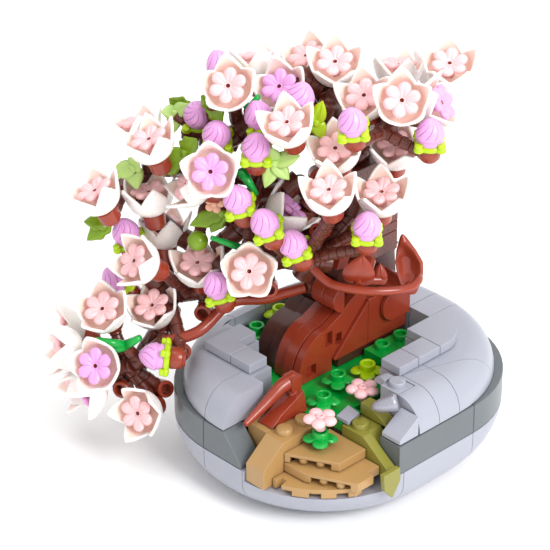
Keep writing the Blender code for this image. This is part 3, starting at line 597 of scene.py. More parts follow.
@dataclass
class Pot:
    """The grey pot: upturned bowl slopes, the dark belt, the dome and its raised plates."""

    half_x: float = 40.5
    half_y: float = 47.0
    corner: float = 32.5
    lip: float = 5.5
    tuck: float = 18.0
    corner_tuck: float = 22.6
    bowl_seams: Spot = (8.0, 14.5)
    notch: tuple[float, float, float, float] = (8.6, 60.0, -60.0, -17.2)
    belt_width: float = 7.8
    belt_gap: float = 0.3
    belt_slope: Spot = (0.2, 7.4)
    dome_corner: float = 38.0
    dome_rim: float = 8.3
    opening_y: float = -16.5
    core_box: RoundBox = RoundBox(32.2, 38.7, 24.2)

    def build(self) -> None:
        """Build and report every piece of the pot."""
        self.bowl()
        self.belt()
        self.belt_front()
        self.dome()
        self.raised_plates()
        self.core()

    def bowl_ring(self, height: float) -> Ring:
        """The bowl's outline at a height: straight lip, then an inward curve.

        Args:
            height: Where the outline is taken.

        Returns:
            Its ring of points.
        """
        curve = BELT_BOTTOM - self.lip
        drop = max(0.0, (curve - height) / curve)
        side = self.tuck * (1.0 - sqrt(max(0.0, 1.0 - drop * drop)))
        fall = (BELT_BOTTOM - height) / BELT_BOTTOM
        corner = self.corner_tuck * (1.0 - sqrt(max(0.0, 1.0 - fall * fall)))
        half_x, half_y = self.half_x - side, self.half_y - side
        reach = (self.half_x + self.half_y - 2.0 * self.corner) * sqrt(0.5) + self.corner - corner
        radius = ((half_x + half_y) * sqrt(0.5) - reach) / (sqrt(2.0) - 1.0)
        radius = min(radius, half_x - 0.2)
        return [(x, y, height) for x, y in RoundBox(half_x, half_y, radius).outline()]

    def bowl(self) -> None:
        """Lower bowl of upturned curved slopes, with its front notch for the sand plates."""
        rows = 14
        heights = [BELT_BOTTOM * (1.0 - cos(pi / 2.0 * k / rows)) for k in range(rows + 1)]
        form = Form()
        form.loft([self.bowl_ring(z) for z in heights])
        for axis, spot in zip((X_AXIS, Y_AXIS), self.bowl_seams):
            form.seams(axis, -spot, spot)
        bowl = form.to_object("pot_bowl_slopes", [GREY_ABS], edge=0.0)
        knife = Form()
        knife.prism(rectangle(*self.notch), NOTCH_FLOOR, BELT_BOTTOM + 5.0)
        carve(bowl, knife.to_object("notch", [GREY_ABS], edge=0.0))
        soften(bowl, EDGE)
        present(bowl, "light_grey", "pot_bowl")

    def belt(self) -> None:
        """Dark belt one brick high, in lengths with a fine seam between them."""
        box = RoundBox(self.half_x, self.half_y, self.corner)
        width, gap = self.belt_width, self.belt_gap
        straight_x, straight_y = self.half_x - self.corner, self.half_y - self.corner
        inner_x, inner_y = self.half_x - width, self.half_y - width
        lengths = {
            "belt_front_right": [(self.half_x, self.opening_y), (self.half_x, straight_y),
                                 (inner_x, straight_y), (inner_x, self.opening_y)],
            "belt_right_corner": box.corner(1, 1, gap, 90.0 - gap)
            + box.corner(1, 1, gap, 90.0 - gap, width)[::-1],
            "belt_back": [(straight_x, self.half_y)] + box.corner(-1, 1, 90.0, 180.0)
            + [(-self.half_x, -straight_y), (-inner_x, -straight_y)]
            + box.corner(-1, 1, 90.0, 180.0, width)[::-1] + [(straight_x, inner_y)],
            "belt_left_corner": box.corner(-1, -1, 180.0 + gap, 270.0 - gap)
            + box.corner(-1, -1, 180.0 + gap, 270.0 - gap, width)[::-1]}
        for node, outline in lengths.items():
            form = Form()
            form.prism(outline, BELT_BOTTOM + GAP, BELT_TOP)
            if node == "belt_back":
                form.seams(X_AXIS, -straight_x)
                form.seams(Y_AXIS, straight_y)
            present(form.to_object(node + "_brick", [SLATE_ABS]), "dark_grey", node)

    def belt_front(self) -> None:
        """The belt's front left brick, which slopes down to the rock garden."""
        bottom = BELT_BOTTOM + GAP
        left = self.corner - self.half_x
        crest, toe = self.belt_slope
        slope = [(left, bottom), (toe, bottom), (toe, bottom + 1.0), (crest, BELT_TOP), (left, BELT_TOP)]
        form = Form()
        form.bar(slope, -self.half_y, self.belt_width - self.half_y, Y_AXIS)
        present(form.to_object("belt_front_left_slope", [SLATE_ABS]), "dark_grey", "belt_front_left")

    def dome_outer(self, node: str, inset: float) -> Outline:
        """The outer edge of one stretch of the dome.

        Args:
            node: The stretch's node.
            inset: How far the edge is drawn in.

        Returns:
            The edge's points.
        """
        side_x, side_y = self.half_x - GAP, self.half_y - GAP
        box = RoundBox(side_x, side_y, self.dome_corner)
        if node == "dome_right":
            return ([(side_x - inset, -8.0)] + box.corner(1, 1, 0.0, 90.0, inset)
                    + [(0.2, side_y - inset)])
        if node == "dome_back":
            return ([(-0.1, side_y - inset)] + box.corner(-1, 1, 90.0, 180.0, inset)
                    + [(-side_x + inset, 0.0)])
        return ([(-side_x + inset, -GAP)] + box.corner(-1, -1, 180.0, 270.0, inset)
                + [(0.0, -side_y + inset)])

    def dome(self) -> None:
        """Curved slopes round the trunk: a quarter-round rim and a flat deck."""
        inner = {
            "dome_right": [(0.2, 29.4), (11.6, 29.4), (11.6, 15.6), (17.6, 15.6), (17.6, -1.0),
                           (31.4, -1.0), (31.4, -8.0)],
            "dome_back": [(-31.2, 0.0), (-31.2, 12.0), (-23.0, 12.0), (-23.0, 29.4), (-0.1, 29.4)],
            "dome_left": [(0.0, -31.0), (-4.0, -31.0), (-4.0, -23.8), (-17.0, -23.8), (-17.0, -16.4),
                          (-31.2, -16.4), (-31.2, -GAP)]}
        seams = {
            "dome_right": (((0.0, 0.2, 0.0), Y_AXIS), ((0.0, 8.6, 0.0), Y_AXIS), ((8.4, 0.0, 0.0), X_AXIS),
                           ((24.6, 0.0, 0.0), (1.0, -0.35, 0.0))),
            "dome_back": (((-8.4, 0.0, 0.0), X_AXIS), ((0.0, 12.6, 0.0), Y_AXIS)),
            "dome_left": (((-8.4, 0.0, 0.0), X_AXIS), ((0.0, -12.6, 0.0), Y_AXIS))}
        rows = 9
        for node, edge in inner.items():
            form, rings = Form(), []
            for k in range(rows + 1):
                turn = pi / 2.0 * k / rows
                inset = self.dome_rim * (1.0 - cos(turn))
                height = BELT_TOP + GAP + (BRICK - GAP) * sin(turn)
                rings.append([(x, y, height) for x, y in self.dome_outer(node, inset) + edge])
            form.loft(rings)
            for point, normal in seams[node]:
                form.split(point, normal)
            present(form.to_object(node + "_slopes", [GREY_ABS]), "light_grey", node)

    def raised_plates(self) -> None:
        """Smooth plates that step up the deck beside the trunk."""
        corner = arc(15.6, 18.9, 9.8, 0.0, 90.0, CORNER_STEPS)
        outlines = {
            "raised_tile_right": [(18.0, -1.2), (25.4, -1.2)] + corner
            + [(11.8, 28.7), (11.8, 15.8), (18.0, 15.8)],
            "raised_tile_left": [(-24.2, -31.2), (-5.4, -31.2), (-5.4, -24.2), (-17.4, -24.2),
                                 (-17.4, -17.2), (-24.2, -17.2)]}
        seams = {"raised_tile_right": (Y_AXIS, 6.8, 15.8), "raised_tile_left": (X_AXIS, -13.4)}
        for node, outline in outlines.items():
            form = Form()
            form.prism(outline, DOME_TOP + GAP, TILE_TOP)
            form.seams(*seams[node])
            present(form.to_object(node + "_plates", [GREY_ABS]), "light_grey", node)

    def core(self) -> None:
        """Bricks inside the belt that carry the garden and the trunk."""
        box = self.core_box
        outline = [(box.half_x, -11.2)]
        for sx, sy, start in ((1, 1, 0.0), (-1, 1, 90.0), (-1, -1, 180.0)):
            outline += box.corner(sx, sy, start, start + 90.0)
        outline += [(0.4, -box.half_y), (0.4, -23.2), (16.0, -23.2), (16.0, -19.8), (20.6, -19.8),
                    (20.6, -11.2)]
        form = Form()
        form.prism(outline, BELT_BOTTOM + GAP, CORE_TOP)
        present(form.to_object("core_bricks", [DARK_BROWN_ABS]), "core_brown", "pot_core")


@dataclass
class RockGarden:
    """The green bed, the sand and moss slopes and the small ornaments at the front."""

    leaf_steps: int = 56
    leaf_waist: float = 2.75
    leaf_reach: float = 5.0
    leaf_droop: float = 0.25
    stem_radius: float = 2.5
    leafy_top: float = 4.7
    half_plate: float = 1.6
    sand_middle: Spot = (8.0, -14.5)
    sand_radius: float = 32.0
    moss_step_y: float = -16.8

    def build(self) -> None:
        """Build and report every piece of the garden."""
        self.bed()
        self.leafy_plates()
        self.sand_slope()
        self.sand_round()
        self.sand_wedges()
        self.moss()
        self.flower("garden_flower_right", 16.0, -6.6, BELT_TOP + GAP)
        self.flower("garden_flower_front", 20.7, -28.4, CORE_TOP + PLATE + STUD_HEIGHT + 2 * GAP)
        self.grey_pieces()
        self.clip()
        self.cone()

    def leafy(self, form: Form, x: float, y: float, base: float, sink: float) -> None:
        """Add a one-stud plate with four drooping leaf lobes and an open stud.

        Args:
            form: The form that takes it.
            x: Place on the grid.
            y: Place on the grid.
            base: Height of the face it stands on.
            sink: How deep its stem goes in.
        """
        place = moved(x, y, base)
        rings = []
        for share, height in ((0.6, 2.8), (0.85, 2.7), (1.0, 2.2), (1.0, 1.9), (0.85, 1.8), (0.6, 1.5)):
            ring = []
            for k in range(self.leaf_steps):
                turn = 2.0 * pi * k / self.leaf_steps
                lobe = abs(sin(2.0 * turn)) ** 0.7
                reach = (self.leaf_waist + (self.leaf_reach - self.leaf_waist) * lobe) * share
                ring.append((reach * cos(turn), reach * sin(turn), height - self.leaf_droop * lobe * share))
            rings.append(ring)
        form.loft(rings, 0, place)
        top = self.leafy_top
        form.turned([(self.stem_radius, -sink), (self.stem_radius, 1.8)], STUD_SIDES, 0, place)
        form.turned([(STUD_RADIUS, 2.0), (STUD_RADIUS, top - 0.25), (STUD_RADIUS - 0.2, top),
                     (STUD_HOLE + 0.15, top), (STUD_HOLE, top - 0.2), (STUD_HOLE, top - 1.5),
                     (0.05, top - 1.5)], STUD_SIDES, 0, place)

    def bed(self) -> None:
        """Green bed plate with a raised strip of open studs and leafy plates."""
        outline = [(0.4, -23.0), (15.8, -23.0), (15.8, -19.6), (20.4, -19.6), (20.4, -11.0),
                   (17.2, -11.0), (17.2, 29.0), (-22.8, 29.0), (-22.8, 11.6), (-30.8, 11.6),
                   (-30.8, -16.0), (-16.8, -16.0), (-16.8, -23.4), (0.4, -23.4)]
        foot, top = BELT_TOP + OVERLAP, BELT_TOP + PLATE
        form = Form()
        form.prism(outline, CORE_TOP + GAP, BELT_TOP)
        form.prism(rectangle(0.4, 8.0, 10.0, 26.4), foot, top)
        for y in (14.5, 22.4):
            add_stud(form, 3.6, y, top, hollow=True)
        for x, y in ((10.8, -17.4), (5.8, -6.4)):
            self.leafy(form, x, y, BELT_TOP, 0.5)
        form.prism(rectangle(-29.8, -22.4, -12.4, -4.8), foot, top)
        self.leafy(form, -26.1, -8.6, top, 0.5)
        form.prism(rectangle(-29.8, -23.2, -2.0, 5.2), foot, top + self.half_plate)
        present(form.to_object("bed_plates", [GREEN_ABS], edge=0.15), "green", "garden_bed")

    def leafy_plates(self) -> None:
        """Leafy plates that stand loose: green on the sand, lime on the bed and lime at the back."""
        for name, nodes, x, y, base, finish in (
                ("plant_green", ["plant_green"], 20.7, -28.4, CORE_TOP + GAP, GREEN_ABS),
                ("plant_lime", ["plant_lime"], 8.4, 3.2, BELT_TOP + GAP, LIME_ABS),
                ("plant_lime_back", [], -26.6, 1.6, BELT_TOP + PLATE + self.half_plate, LIME_ABS)):
            form = Form()
            self.leafy(form, x, y, base, 0.0)
            present(form.to_object(name + "_leaves", [finish], edge=0.1), finish.slot, *nodes)

    def sand_slope(self) -> None:
        """Tan slope with its step and its two studs."""
        bottom = NOTCH_FLOOR + GAP
        side = [(-46.4, bottom), (-23.8, bottom), (-23.8, BELT_TOP), (-38.6, BELT_TOP),
                (-46.4, BELT_BOTTOM + PLATE)]
        form = Form()
        form.bar(side, 9.0, 16.2, X_AXIS)
        form.prism(rectangle(1.2, 8.9, -38.2, -24.2), BELT_BOTTOM + GAP, BELT_TOP)
        for y in (-34.5, -27.0):
            add_stud(form, 12.4, y, BELT_TOP)
        present(form.to_object("sand_slope_brick", [TAN_ABS]), "tan", "sand_slope")

    def sand_round(self) -> None:
        """Lowest tan plate, round at the front, with three open stretches in its edge."""
        outer = arc(*self.sand_middle, self.sand_radius, -72.0, -24.0, 18)
        outline = [(16.5, -43.2), (18.0, -43.2), (18.0, -41.0), (20.0, -41.0)] + outer[2:-2]
        outline += [(36.4, -30.0), (36.4, -27.2), (34.4, -27.2), (34.4, -20.4), (16.5, -20.4)]
        form = Form()
        form.prism(outline, NOTCH_FLOOR + GAP, BELT_BOTTOM)
        plate = form.to_object("sand_round_plate", [TAN_ABS], edge=0.0)
        for start in (-67.0, -52.0, -38.0):
            near, far = arc(*self.sand_middle, self.sand_radius, start, start + 6.0, 1)
            self.open_edge(plate, near, far, 1.8, NOTCH_FLOOR, NOTCH_FLOOR + 1.9)
        soften(plate, EDGE)
        present(plate, "tan", "sand_plate_low")

    def sand_wedges(self) -> None:
        """Middle and top tan wedge plates, hollow under their front edge, with posts in the hollow."""
        posts = Form()
        wedges = {
            "sand_wedge_middle": ([(16.5, -38.6), (24.5, -38.3), (38.6, -31.2), (38.6, -24.9),
                                   (36.4, -24.9), (36.4, -20.4), (16.5, -20.4)],
                                  BELT_BOTTOM + GAP, (34.8, -27.6), ((26.0, -37.5), (36.6, -32.2))),
            "sand_wedge_top": ([(16.5, -38.6), (31.0, -31.0), (31.0, -20.4), (16.5, -20.4)],
                               BELT_BOTTOM + PLATE + GAP, (27.6, -26.4), ((18.0, -37.8), (28.8, -32.2)))}
        for node, (outline, bottom, stud, (near, far)) in wedges.items():
            form = Form()
            form.prism(outline, bottom, bottom + PLATE - GAP)
            add_stud(form, *stud, bottom + PLATE - GAP)
            plate = form.to_object(node + "_plate", [TAN_ABS], edge=0.0)
            self.open_edge(plate, near, far, 2.4, bottom - 1.0, bottom + 1.9)
            soften(plate, EDGE)
            present(plate, "tan", node)
            for share in (0.3, 0.72):
                x, y = (a + (b - a) * share for a, b in zip(near, far))
                profile = [(1.3, bottom + OVERLAP), (1.3, bottom + 1.9 - OVERLAP)]
                posts.turned(profile, 20, 0, moved(x - 0.7, y + 1.3, 0.0))
        present(posts.to_object("sand_wedge_posts", [TAN_ABS], edge=0.0), "tan")

    def open_edge(self, plate: bpy.types.Object, near: Spot, far: Spot, depth: float, low: float,
                  high: float) -> None:
        """Open a plate's hollow side between two points of its front edge.

        Args:
            plate: The plate.
            near: One end of the opening, on the edge.
            far: The other end, with the plate's body at the left of the way there.
            depth: How far the opening goes in.
            low: Height of its floor.
            high: Height of its ceiling.
        """
        start, end = Vector(near), Vector(far)
        inward = Vector((start.y - end.y, end.x - start.x)).normalized()
        knife = Form()
        knife.prism([tuple(start - inward), tuple(end - inward), tuple(end + inward * depth),
                     tuple(start + inward * depth)], low, high)
        carve(plate, knife.to_object("opening", [TAN_ABS], edge=0.0))

    def moss(self) -> None:
        """Olive slope with a stud and a hanging tooth, and the lower slope behind it."""
        bottom, step = BELT_BOTTOM + GAP, self.moss_step_y
        form = Form()
        form.bar([(21.0, bottom), (39.8, bottom), (39.8, 18.3), (29.4, BELT_TOP), (21.0, BELT_TOP)],
                 -20.1, step, Y_AXIS)
        form.bar([(21.0, bottom), (32.3, bottom), (32.3, 22.4), (28.6, BELT_TOP), (21.0, BELT_TOP)],
                 step - 0.02, -12.0, Y_AXIS)
        form.bar([(-24.8, 20.6), (-18.2, 20.6), (-17.8, 16.2), (-21.0, 11.4), (-24.2, 15.2)],
                 40.8, 42.4, X_AXIS)
        form.bar(rectangle(39.4, 41.2, 16.6, 18.2), -20.0, -18.4, Y_AXIS)
        add_stud(form, 25.2, step, BELT_TOP)
        present(form.to_object("moss_slope_front", [OLIVE_ABS]), "olive", "olive_slope_front")
        low, crest = BELT_TOP + GAP, BELT_TOP + 4.2
        form = Form()
        form.bar([(20.8, low), (32.0, low), (32.0, BELT_TOP + 0.8), (24.6, crest), (20.8, crest)],
                 -12.4, -8.4, Y_AXIS)
        present(form.to_object("moss_slope_back", [OLIVE_ABS]), "olive", "olive_slope_back")

    def flower(self, node: str, x: float, y: float, base: float) -> None:
        """A small garden flower: five puffed petals round a ring on a short stem.

        Args:
            node: The flower's node.
            x: Place on the grid.
            y: Place on the grid.
            base: Height of the face it stands on.
        """
        form = Form()
        place = moved(x, y, base)
        form.turned([(1.5, 0.0), (1.5, 3.0), (1.2, 3.6)], 20, 0, place)
        for k in range(5):
            turn = 2.0 * pi * k / 5 + 0.3
            petal = place @ moved(3.0 * cos(turn), 3.0 * sin(turn), 3.6)
            add_pebble(form, petal, 1.98, 1.98, 1.3)
        form.turned([(1.3, 3.4), (1.3, 4.6), (1.1, 4.75), (0.6, 4.75), (0.5, 4.5), (0.5, 3.8),
                     (0.05, 3.8)], 20, 0, place)
        present(form.to_object(node + "_petals", [PINK_ABS], edge=0.0), "pink", node)

    def grey_pieces(self) -> None:
        """Small light grey slope at the front and the light grey tile on the bed."""
        low = BELT_TOP + GAP
        form = Form()
        form.bar([(-16.2, low), (-8.6, low), (-8.6, BELT_TOP + 6.6), (-16.2, BELT_TOP + 1.6)],
                 33.0, 40.2, X_AXIS)
        present(form.to_object("grey_slope_brick", [GREY_ABS]), "light_grey", "grey_slope")
        form = Form()
        form.prism([(18.1, -19.4), (23.0, -19.4), (21.8, -13.6), (16.6, -13.0)], low, BELT_TOP + 1.6)
        present(form.to_object("grey_tile_plate", [GREY_ABS]), "light_grey", "grey_tile")

    def clip(self) -> None:
        """Light grey clip brick with its stud and an arm that tapers toward the bed."""
        form = Form()
        form.prism(rectangle(24.2, 31.1, -7.8, -1.3), CORE_TOP + GAP, DOME_TOP)
        form.seams(Z_AXIS, DOME_TOP - PLATE, seam=FINE_SEAM)
        add_stud(form, 27.6, -4.5, DOME_TOP)
        middle = -4.6
        rings = []
        for x, z, half, thick in ((24.6, 34.6, 1.9, 1.5), (22.6, 35.0, 1.7, 1.3), (20.6, 34.4, 1.2, 1.0),
                                  (19.0, 33.2, 0.5, 0.5)):
            section = rectangle(middle - half, middle + half, z - thick, z + thick)
            rings.append([(x, across, height) for across, height in section])
        form.loft(rings)
        present(form.to_object("grey_clip", [GREY_ABS]), "light_grey", "grey_clip_plate")

    def cone(self) -> None:
        """Pearl silver cone that lies on the sand slope, its round end to the right."""
        profile = [(0.1, 0.0), (0.5, 0.05), (1.0, 0.6), (1.6, 1.6), (2.05, 2.9), (2.35, 4.3), (2.55, 5.8),
                   (2.62, 6.8), (2.45, 7.3), (2.0, 7.65), (1.5, 7.7), (0.1, 7.7)]
        form = Form()
        form.turned(profile, 40, 0, along((9.0, -30.5, 32.4), (0.955, 0.0, 0.297)))
        present(form.to_object("silver_cone_skin", [SILVER_ABS], WORLD, 0.0), "silver", "silver_cone")


def add_pebble(form: Form, place: Matrix, length: float, width: float, thick: float,
               slot: int = 0) -> None:
    """Add a puffed round or oval petal.

    Args:
        form: The form that takes it.
        place: Its middle and its turn; X runs along it and Z is its top.
        length: Half its length.
        width: Half its width.
        thick: Half its thickness.
        slot: Its material slot.
    """
    rows, count, pole = 9, 20, 0.12
    rings = []
    for row in range(rows + 1):
        turn = pi * (row + pole) / (rows + 2.0 * pole)
        ring = []
        for k in range(count):
            around = 2.0 * pi * k / count
            ring.append((-length * cos(turn), width * sin(turn) * cos(around),
                         thick * sin(turn) * sin(around)))
        rings.append(ring)
    form.loft(rings, slot, place)


def add_petal(form: Form, place: Matrix, length: float, width: float, thick: float,
              slot: int = 0) -> None:
    """Add a broad petal, narrow at its inner end and round outside, with a crease along it.

    Args:
        form: The form that takes it.
        place: Its middle and its turn; X runs outward along it and Z is its top.
        length: Half its length.
        width: Half its width.
        thick: Half its thickness.
        slot: Its material slot.
    """
    rows, count = 11, 36
    shoulder, inner_size = 0.6, 0.34
    crease_depth, crease_half = 0.42, 0.3
    rings = []
    for row in range(rows + 1):
        share = 0.02 + 0.96 * row / rows
        if share > shoulder:
            size = sqrt(max(0.0, 1.0 - ((share - shoulder) / (1.0 - shoulder)) ** 2))
        else:
            size = inner_size + (1.0 - inner_size) * sin(pi / 2.0 * share / shoulder)
        ring = []
        for k in range(count):
            around = 2.0 * pi * k / count
            y = width * size * cos(around)
            z = thick * size ** 0.7 * sin(around)
            if z > 0.0:
                z -= crease_depth * exp(-(y / crease_half) ** 2) * (1.0 - 0.8 * share)
            ring.append((length * (2.0 * share - 1.0), y, z))
        rings.append(ring)
    form.loft(rings, slot, place)


@dataclass
class Trunk:
    """The trunk of slopes and bricks, its roots, the claw, the leaves and the vine bar."""

    foot: float = BELT_TOP + GAP
    wing_foot: Spot = (-1.4, 29.2)
    wing_top: Spot = (12.9, 44.5)
    wing_end: float = 28.6
    disc_middle: Spot = (22.0, 39.2)
    disc_radius: float = 4.9
    knee: Spot = (-3.9, 40.6)
    red_toe: float = -15.6
    root_back: float = 1.9
    root_edge: float = 0.16
    windows: tuple = ((-4.5, -1.6, 34.6, 39.3), (-12.2, -8.2, 27.4, 31.0), (-0.3, 2.3, 33.4, 37.4))
    steps: int = 24
    bar_edge: float = 0.12

    def build(self) -> None:
        """Build and report every piece of the trunk."""
        self.column_low()
        self.column_high()
        self.wing()
        self.dark_roots()
        self.red_roots()
        self.round_bricks()
        self.front_root()
        self.claw()
        self.leaves()
        self.vine()

    def column_low(self) -> None:
        """Lower, stepped column of dark bricks with a seam at each course."""
        foot = self.foot
        form = Form()
        form.loft([
            [(-21.8, 2.2, foot), (-4.4, 2.2, foot), (-4.4, 28.2, foot), (-21.8, 28.2, foot)],
            [(-20.0, 3.0, 44.0), (-4.4, 3.0, 44.0), (-4.4, 28.2, 44.0), (-18.0, 28.2, 44.0)],
            [(-18.2, 3.4, 53.4), (-4.4, 3.4, 53.4), (-4.4, 27.4, 53.4), (-16.8, 27.4, 53.4)],
            [(-17.0, 3.6, 57.4), (-2.6, 3.6, 57.4), (-2.6, 27.0, 57.4), (-16.0, 27.0, 57.4)]])
        form.seams(Z_AXIS, 35.2, 44.8)
        form.seams(Y_AXIS, 15.6)
        present(form.to_object("trunk_bricks_low", [DARK_BROWN_ABS]), "core_brown", "trunk_column")

    def column_high(self) -> None:
        """Three square lengths of upper trunk and the reddish brick that leans on their front."""
        form = Form()
        for low, high, x, y, half in ((57.5, 73.2, -8.6, 15.4, 8.4), (73.3, 89.2, -7.6, 13.0, 7.0),
                                      (89.3, 103.0, -9.0, 9.4, 5.6)):
            form.prism(rectangle(x - half, x + half, y - half, y + half), low, high)
        form.seams(Z_AXIS, 63.8, 67.0, 79.7, 95.8)
        place = (moved(-4.0, 3.4, 66.0) @ Matrix.Rotation(radians(-14.0), 4, "X")
                 @ Matrix.Rotation(radians(9.0), 4, "Y"))
        corners = [(x, y, z) for z in (-7.0, 7.0) for x, y in rectangle(-3.9, 3.9, -2.0, 2.0)]
        sides = [(k, (k + 1) % 4, (k + 1) % 4 + 4, k + 4) for k in range(4)]
        form.add(corners, [(3, 2, 1, 0), (4, 5, 6, 7)] + sides, 1, place)
        # The upper trunk takes the darker reddish brown copy, painted shade
        present(form.to_object("trunk_bricks_high", [SHADED_RED_BROWN_ABS, RED_BROWN_ABS]), "core_brown")

    def wing(self) -> None:
        """Reddish wing slope on the front right face, with its round tile and sill."""
        foot, end = self.foot, self.wing_end
        (low_y, low_z), (high_y, high_z) = self.wing_foot, self.wing_top
        disc_y, disc_z = self.disc_middle
        form = Form()
        form.bar([(low_y, low_z), (end, low_z), (end, high_z), (high_y, high_z), (low_y, 29.8)],
                 -4.1, -0.4, X_AXIS)
        form.seams(Y_AXIS, 12.4, seam=FINE_SEAM)
        form.bar(rectangle(0.4, end, foot, foot + 3.3), -4.1, -0.9, X_AXIS, 1)
        tile = arc(disc_y, disc_z, self.disc_radius, 90.0, 270.0, 24)
        tile += [(end, disc_z - self.disc_radius), (end, disc_z + self.disc_radius)]
        form.bar(tile, -0.2, 1.2, X_AXIS)
        form.turned([(2.0, -0.6), (2.0, -0.1)], 24, 0,
                    moved(0.0, disc_y, disc_z) @ Matrix.Rotation(pi / 2.0, 4, "Y"))
        present(form.to_object("trunk_wing_slope", [RED_BROWN_ABS, DARK_BROWN_ABS]), "red_brown",
                "trunk_wing")

    def fan(self, form: Form, start: float, end: float, toe: float, knee: Spot, back: Outline) -> None:
        """A root slope: a quarter ellipse from its toe to its knee, then straight back.

        Args:
            form: The form that takes it.
            start: Its far side on grid X.
            end: Its near side on grid X.
            toe: Where it meets the ground on grid Y.
            knee: Where its curve ends, as grid Y and height.
            back: The rest of its outline, back to the ground.
        """
        knee_y, knee_z = knee
        outline = []
        for k in range(self.steps + 1):
            turn = pi / 2.0 * k / self.steps
            outline.append((knee_y + (toe - knee_y) * cos(turn),
                            self.foot + (knee_z - self.foot) * sin(turn)))
        form.bar(outline + back, start + OVERLAP, end - OVERLAP, X_AXIS)

    def dark_roots(self) -> None:
        """Two dark curved root slopes at the left."""
        back = [(self.root_back, 43.0), (self.root_back, self.foot)]
        form = Form()
        self.fan(form, -21.6, -16.45, -13.2, (-2.0, 39.0), back)
        self.fan(form, -16.45, -12.4, -13.8, (-2.0, 39.5), back)
        form.split((0.0, -5.4, 0.0), (0.0, 1.0, -0.35), FINE_SEAM)
        present(form.to_object("root_dark_slopes", [DARK_BROWN_ABS], edge=self.root_edge), "core_brown",
                "root_dark")

    def red_roots(self) -> None:
        """Three reddish curved root slopes at the right, with the windows in their side."""
        wing_y, wing_z = self.wing_top
        back = [(self.root_back, 43.3), (self.root_back, self.foot)]
        beside_wing = [back[0], (5.7, 46.4), (9.5, 48.5), (wing_y - 0.25, wing_z + GAP), (-1.7, 30.1),
                       (-1.7, self.foot)]
        form = Form()
        self.fan(form, -12.1, -8.45, -15.0, self.knee, back)
        self.fan(form, -8.45, -4.45, self.red_toe, self.knee, back)
        form.split((0.0, self.knee[0], 0.0), (0.0, 1.0, -0.4), FINE_SEAM)
        self.fan(form, -4.1, -1.35, self.red_toe, self.knee, beside_wing)
        slopes = form.to_object("root_red_slopes", [RED_BROWN_ABS], edge=0.0)
        for window in self.windows:
            knife = Form()
            knife.bar(rectangle(*window), -3.4, 0.0, X_AXIS)
            carve(slopes, knife.to_object("window", [DARK_BROWN_ABS], edge=0.0))
        soften(slopes, self.root_edge)
        present(slopes, "red_brown", "root_red")

    def round_bricks(self) -> None:
        """Two half-round reddish bricks that lie across the top of the roots."""
        form = Form()
        for start, end in ((-10.4, -5.7), (-5.5, -0.9)):
            form.bar(arc(2.9, 48.6, 4.6, 90.0, 270.0, 20), start, end, X_AXIS)
        present(form.to_object("trunk_round_bricks", [RED_BROWN_ABS], edge=0.3), "red_brown")

    def front_root(self) -> None:
        """Front root: a wedge body and a thin curved horn with a boxy upper end."""
        base = self.foot
        form = Form()
        form.loft([
            [(1.6, -22.2, base), (9.2, -22.2, base), (9.2, -36.4, base), (3.2, -36.4, base)],
            [(1.9, -22.6, 31.0), (8.2, -22.6, 32.4), (9.0, -32.6, 28.6), (3.6, -33.0, 27.4)]])
        form.tube([(5.4, -24.0, 30.0), (4.0, -23.6, 34.0)], [1.7, 1.7])
        form.prism(rectangle(2.2, 6.4, -25.4, -21.6), 31.6, 36.4)
        path = smooth_path([(4.0, -22.6, 34.6), (3.6, -27.4, 33.6), (3.4, -32.2, 31.0),
                            (3.3, -37.4, 28.6), (3.6, -41.6, 27.2)], 6)
        radii = [0.8 + 1.7 * (1.0 - k / (len(path) - 1)) ** 0.8 for k in range(len(path))]
        form.tube(path, radii)
        present(form.to_object("front_root_horn", [RED_BROWN_ABS]), "red_brown", "root_front")

    def claw(self) -> None:
        """Tall claw at the right of the trunk: an arm and an upright hollow blade."""
        form = Form()
        form.tube([(11.2, 17.0, 49.8), (20.6, 7.6, 49.8)], [2.0, 2.0], 20)
        places = smooth_path([(20.4, 7.0, 48.2), (20.4, 7.0, 50.7), (20.3, 7.0, 54.4), (19.9, 7.0, 58.5),
                              (19.0, 7.0, 62.5), (17.8, 7.0, 67.6)], 5)
        halves = smooth_values([1.8, 2.8, 3.9, 4.1, 2.9, 0.4], 5)
        sides, skin = 28, 1.5
        rings = []
        for (x, y, z), half in zip(places, halves):
            thick = min(half, skin)
            hollow = 1.5 * max(0.0, half - 1.6)
            ring = []
            for k in range(sides):
                turn = 2.0 * pi * k / sides
                dent = hollow * max(0.0, -sin(turn)) ** 3 * max(0.0, 0.75 - cos(turn)) ** 0.5
                ring.append((x + half * cos(turn), y + thick * sin(turn) + dent, z))
            rings.append(ring)
        form.loft(rings)
        present(form.to_object("claw_skin", [RED_BROWN_ABS], WORLD, self.bar_edge), "red_brown",
                "trunk_claw")

    def leaves(self) -> None:
        """Two pointed brown leaves between the trunk and the vine bar, on their clip rods."""
        form = Form()
        for base, turn, width, length in (((4.8, -3.6, 58.0), 0.17, 8.8, 8.8),
                                          ((11.3, -1.4, 56.6), 0.0, 4.2, 6.1)):
            place = moved(*base) @ Matrix.Rotation(turn, 4, "Y")
            add_leaf(form, width, length, -1.2, 2.0, place)
        for radius, points in ((1.5, [(3.6, -2.6, 58.0), (11.6, -0.8, 57.0)]),
                               (1.4, [(6.85, 6.6, 60.0), (8.8, 4.7, 60.0), (7.4, -1.4, 57.8)]),
                               (1.3, [(5.0, -2.4, 58.0), (5.0, -5.7, 57.6)])):
            form.tube(points, [radius] * len(points))
        present(form.to_object("brown_leaves", [RED_BROWN_ABS], WORLD, self.bar_edge), "red_brown",
                "trunk_leaves")

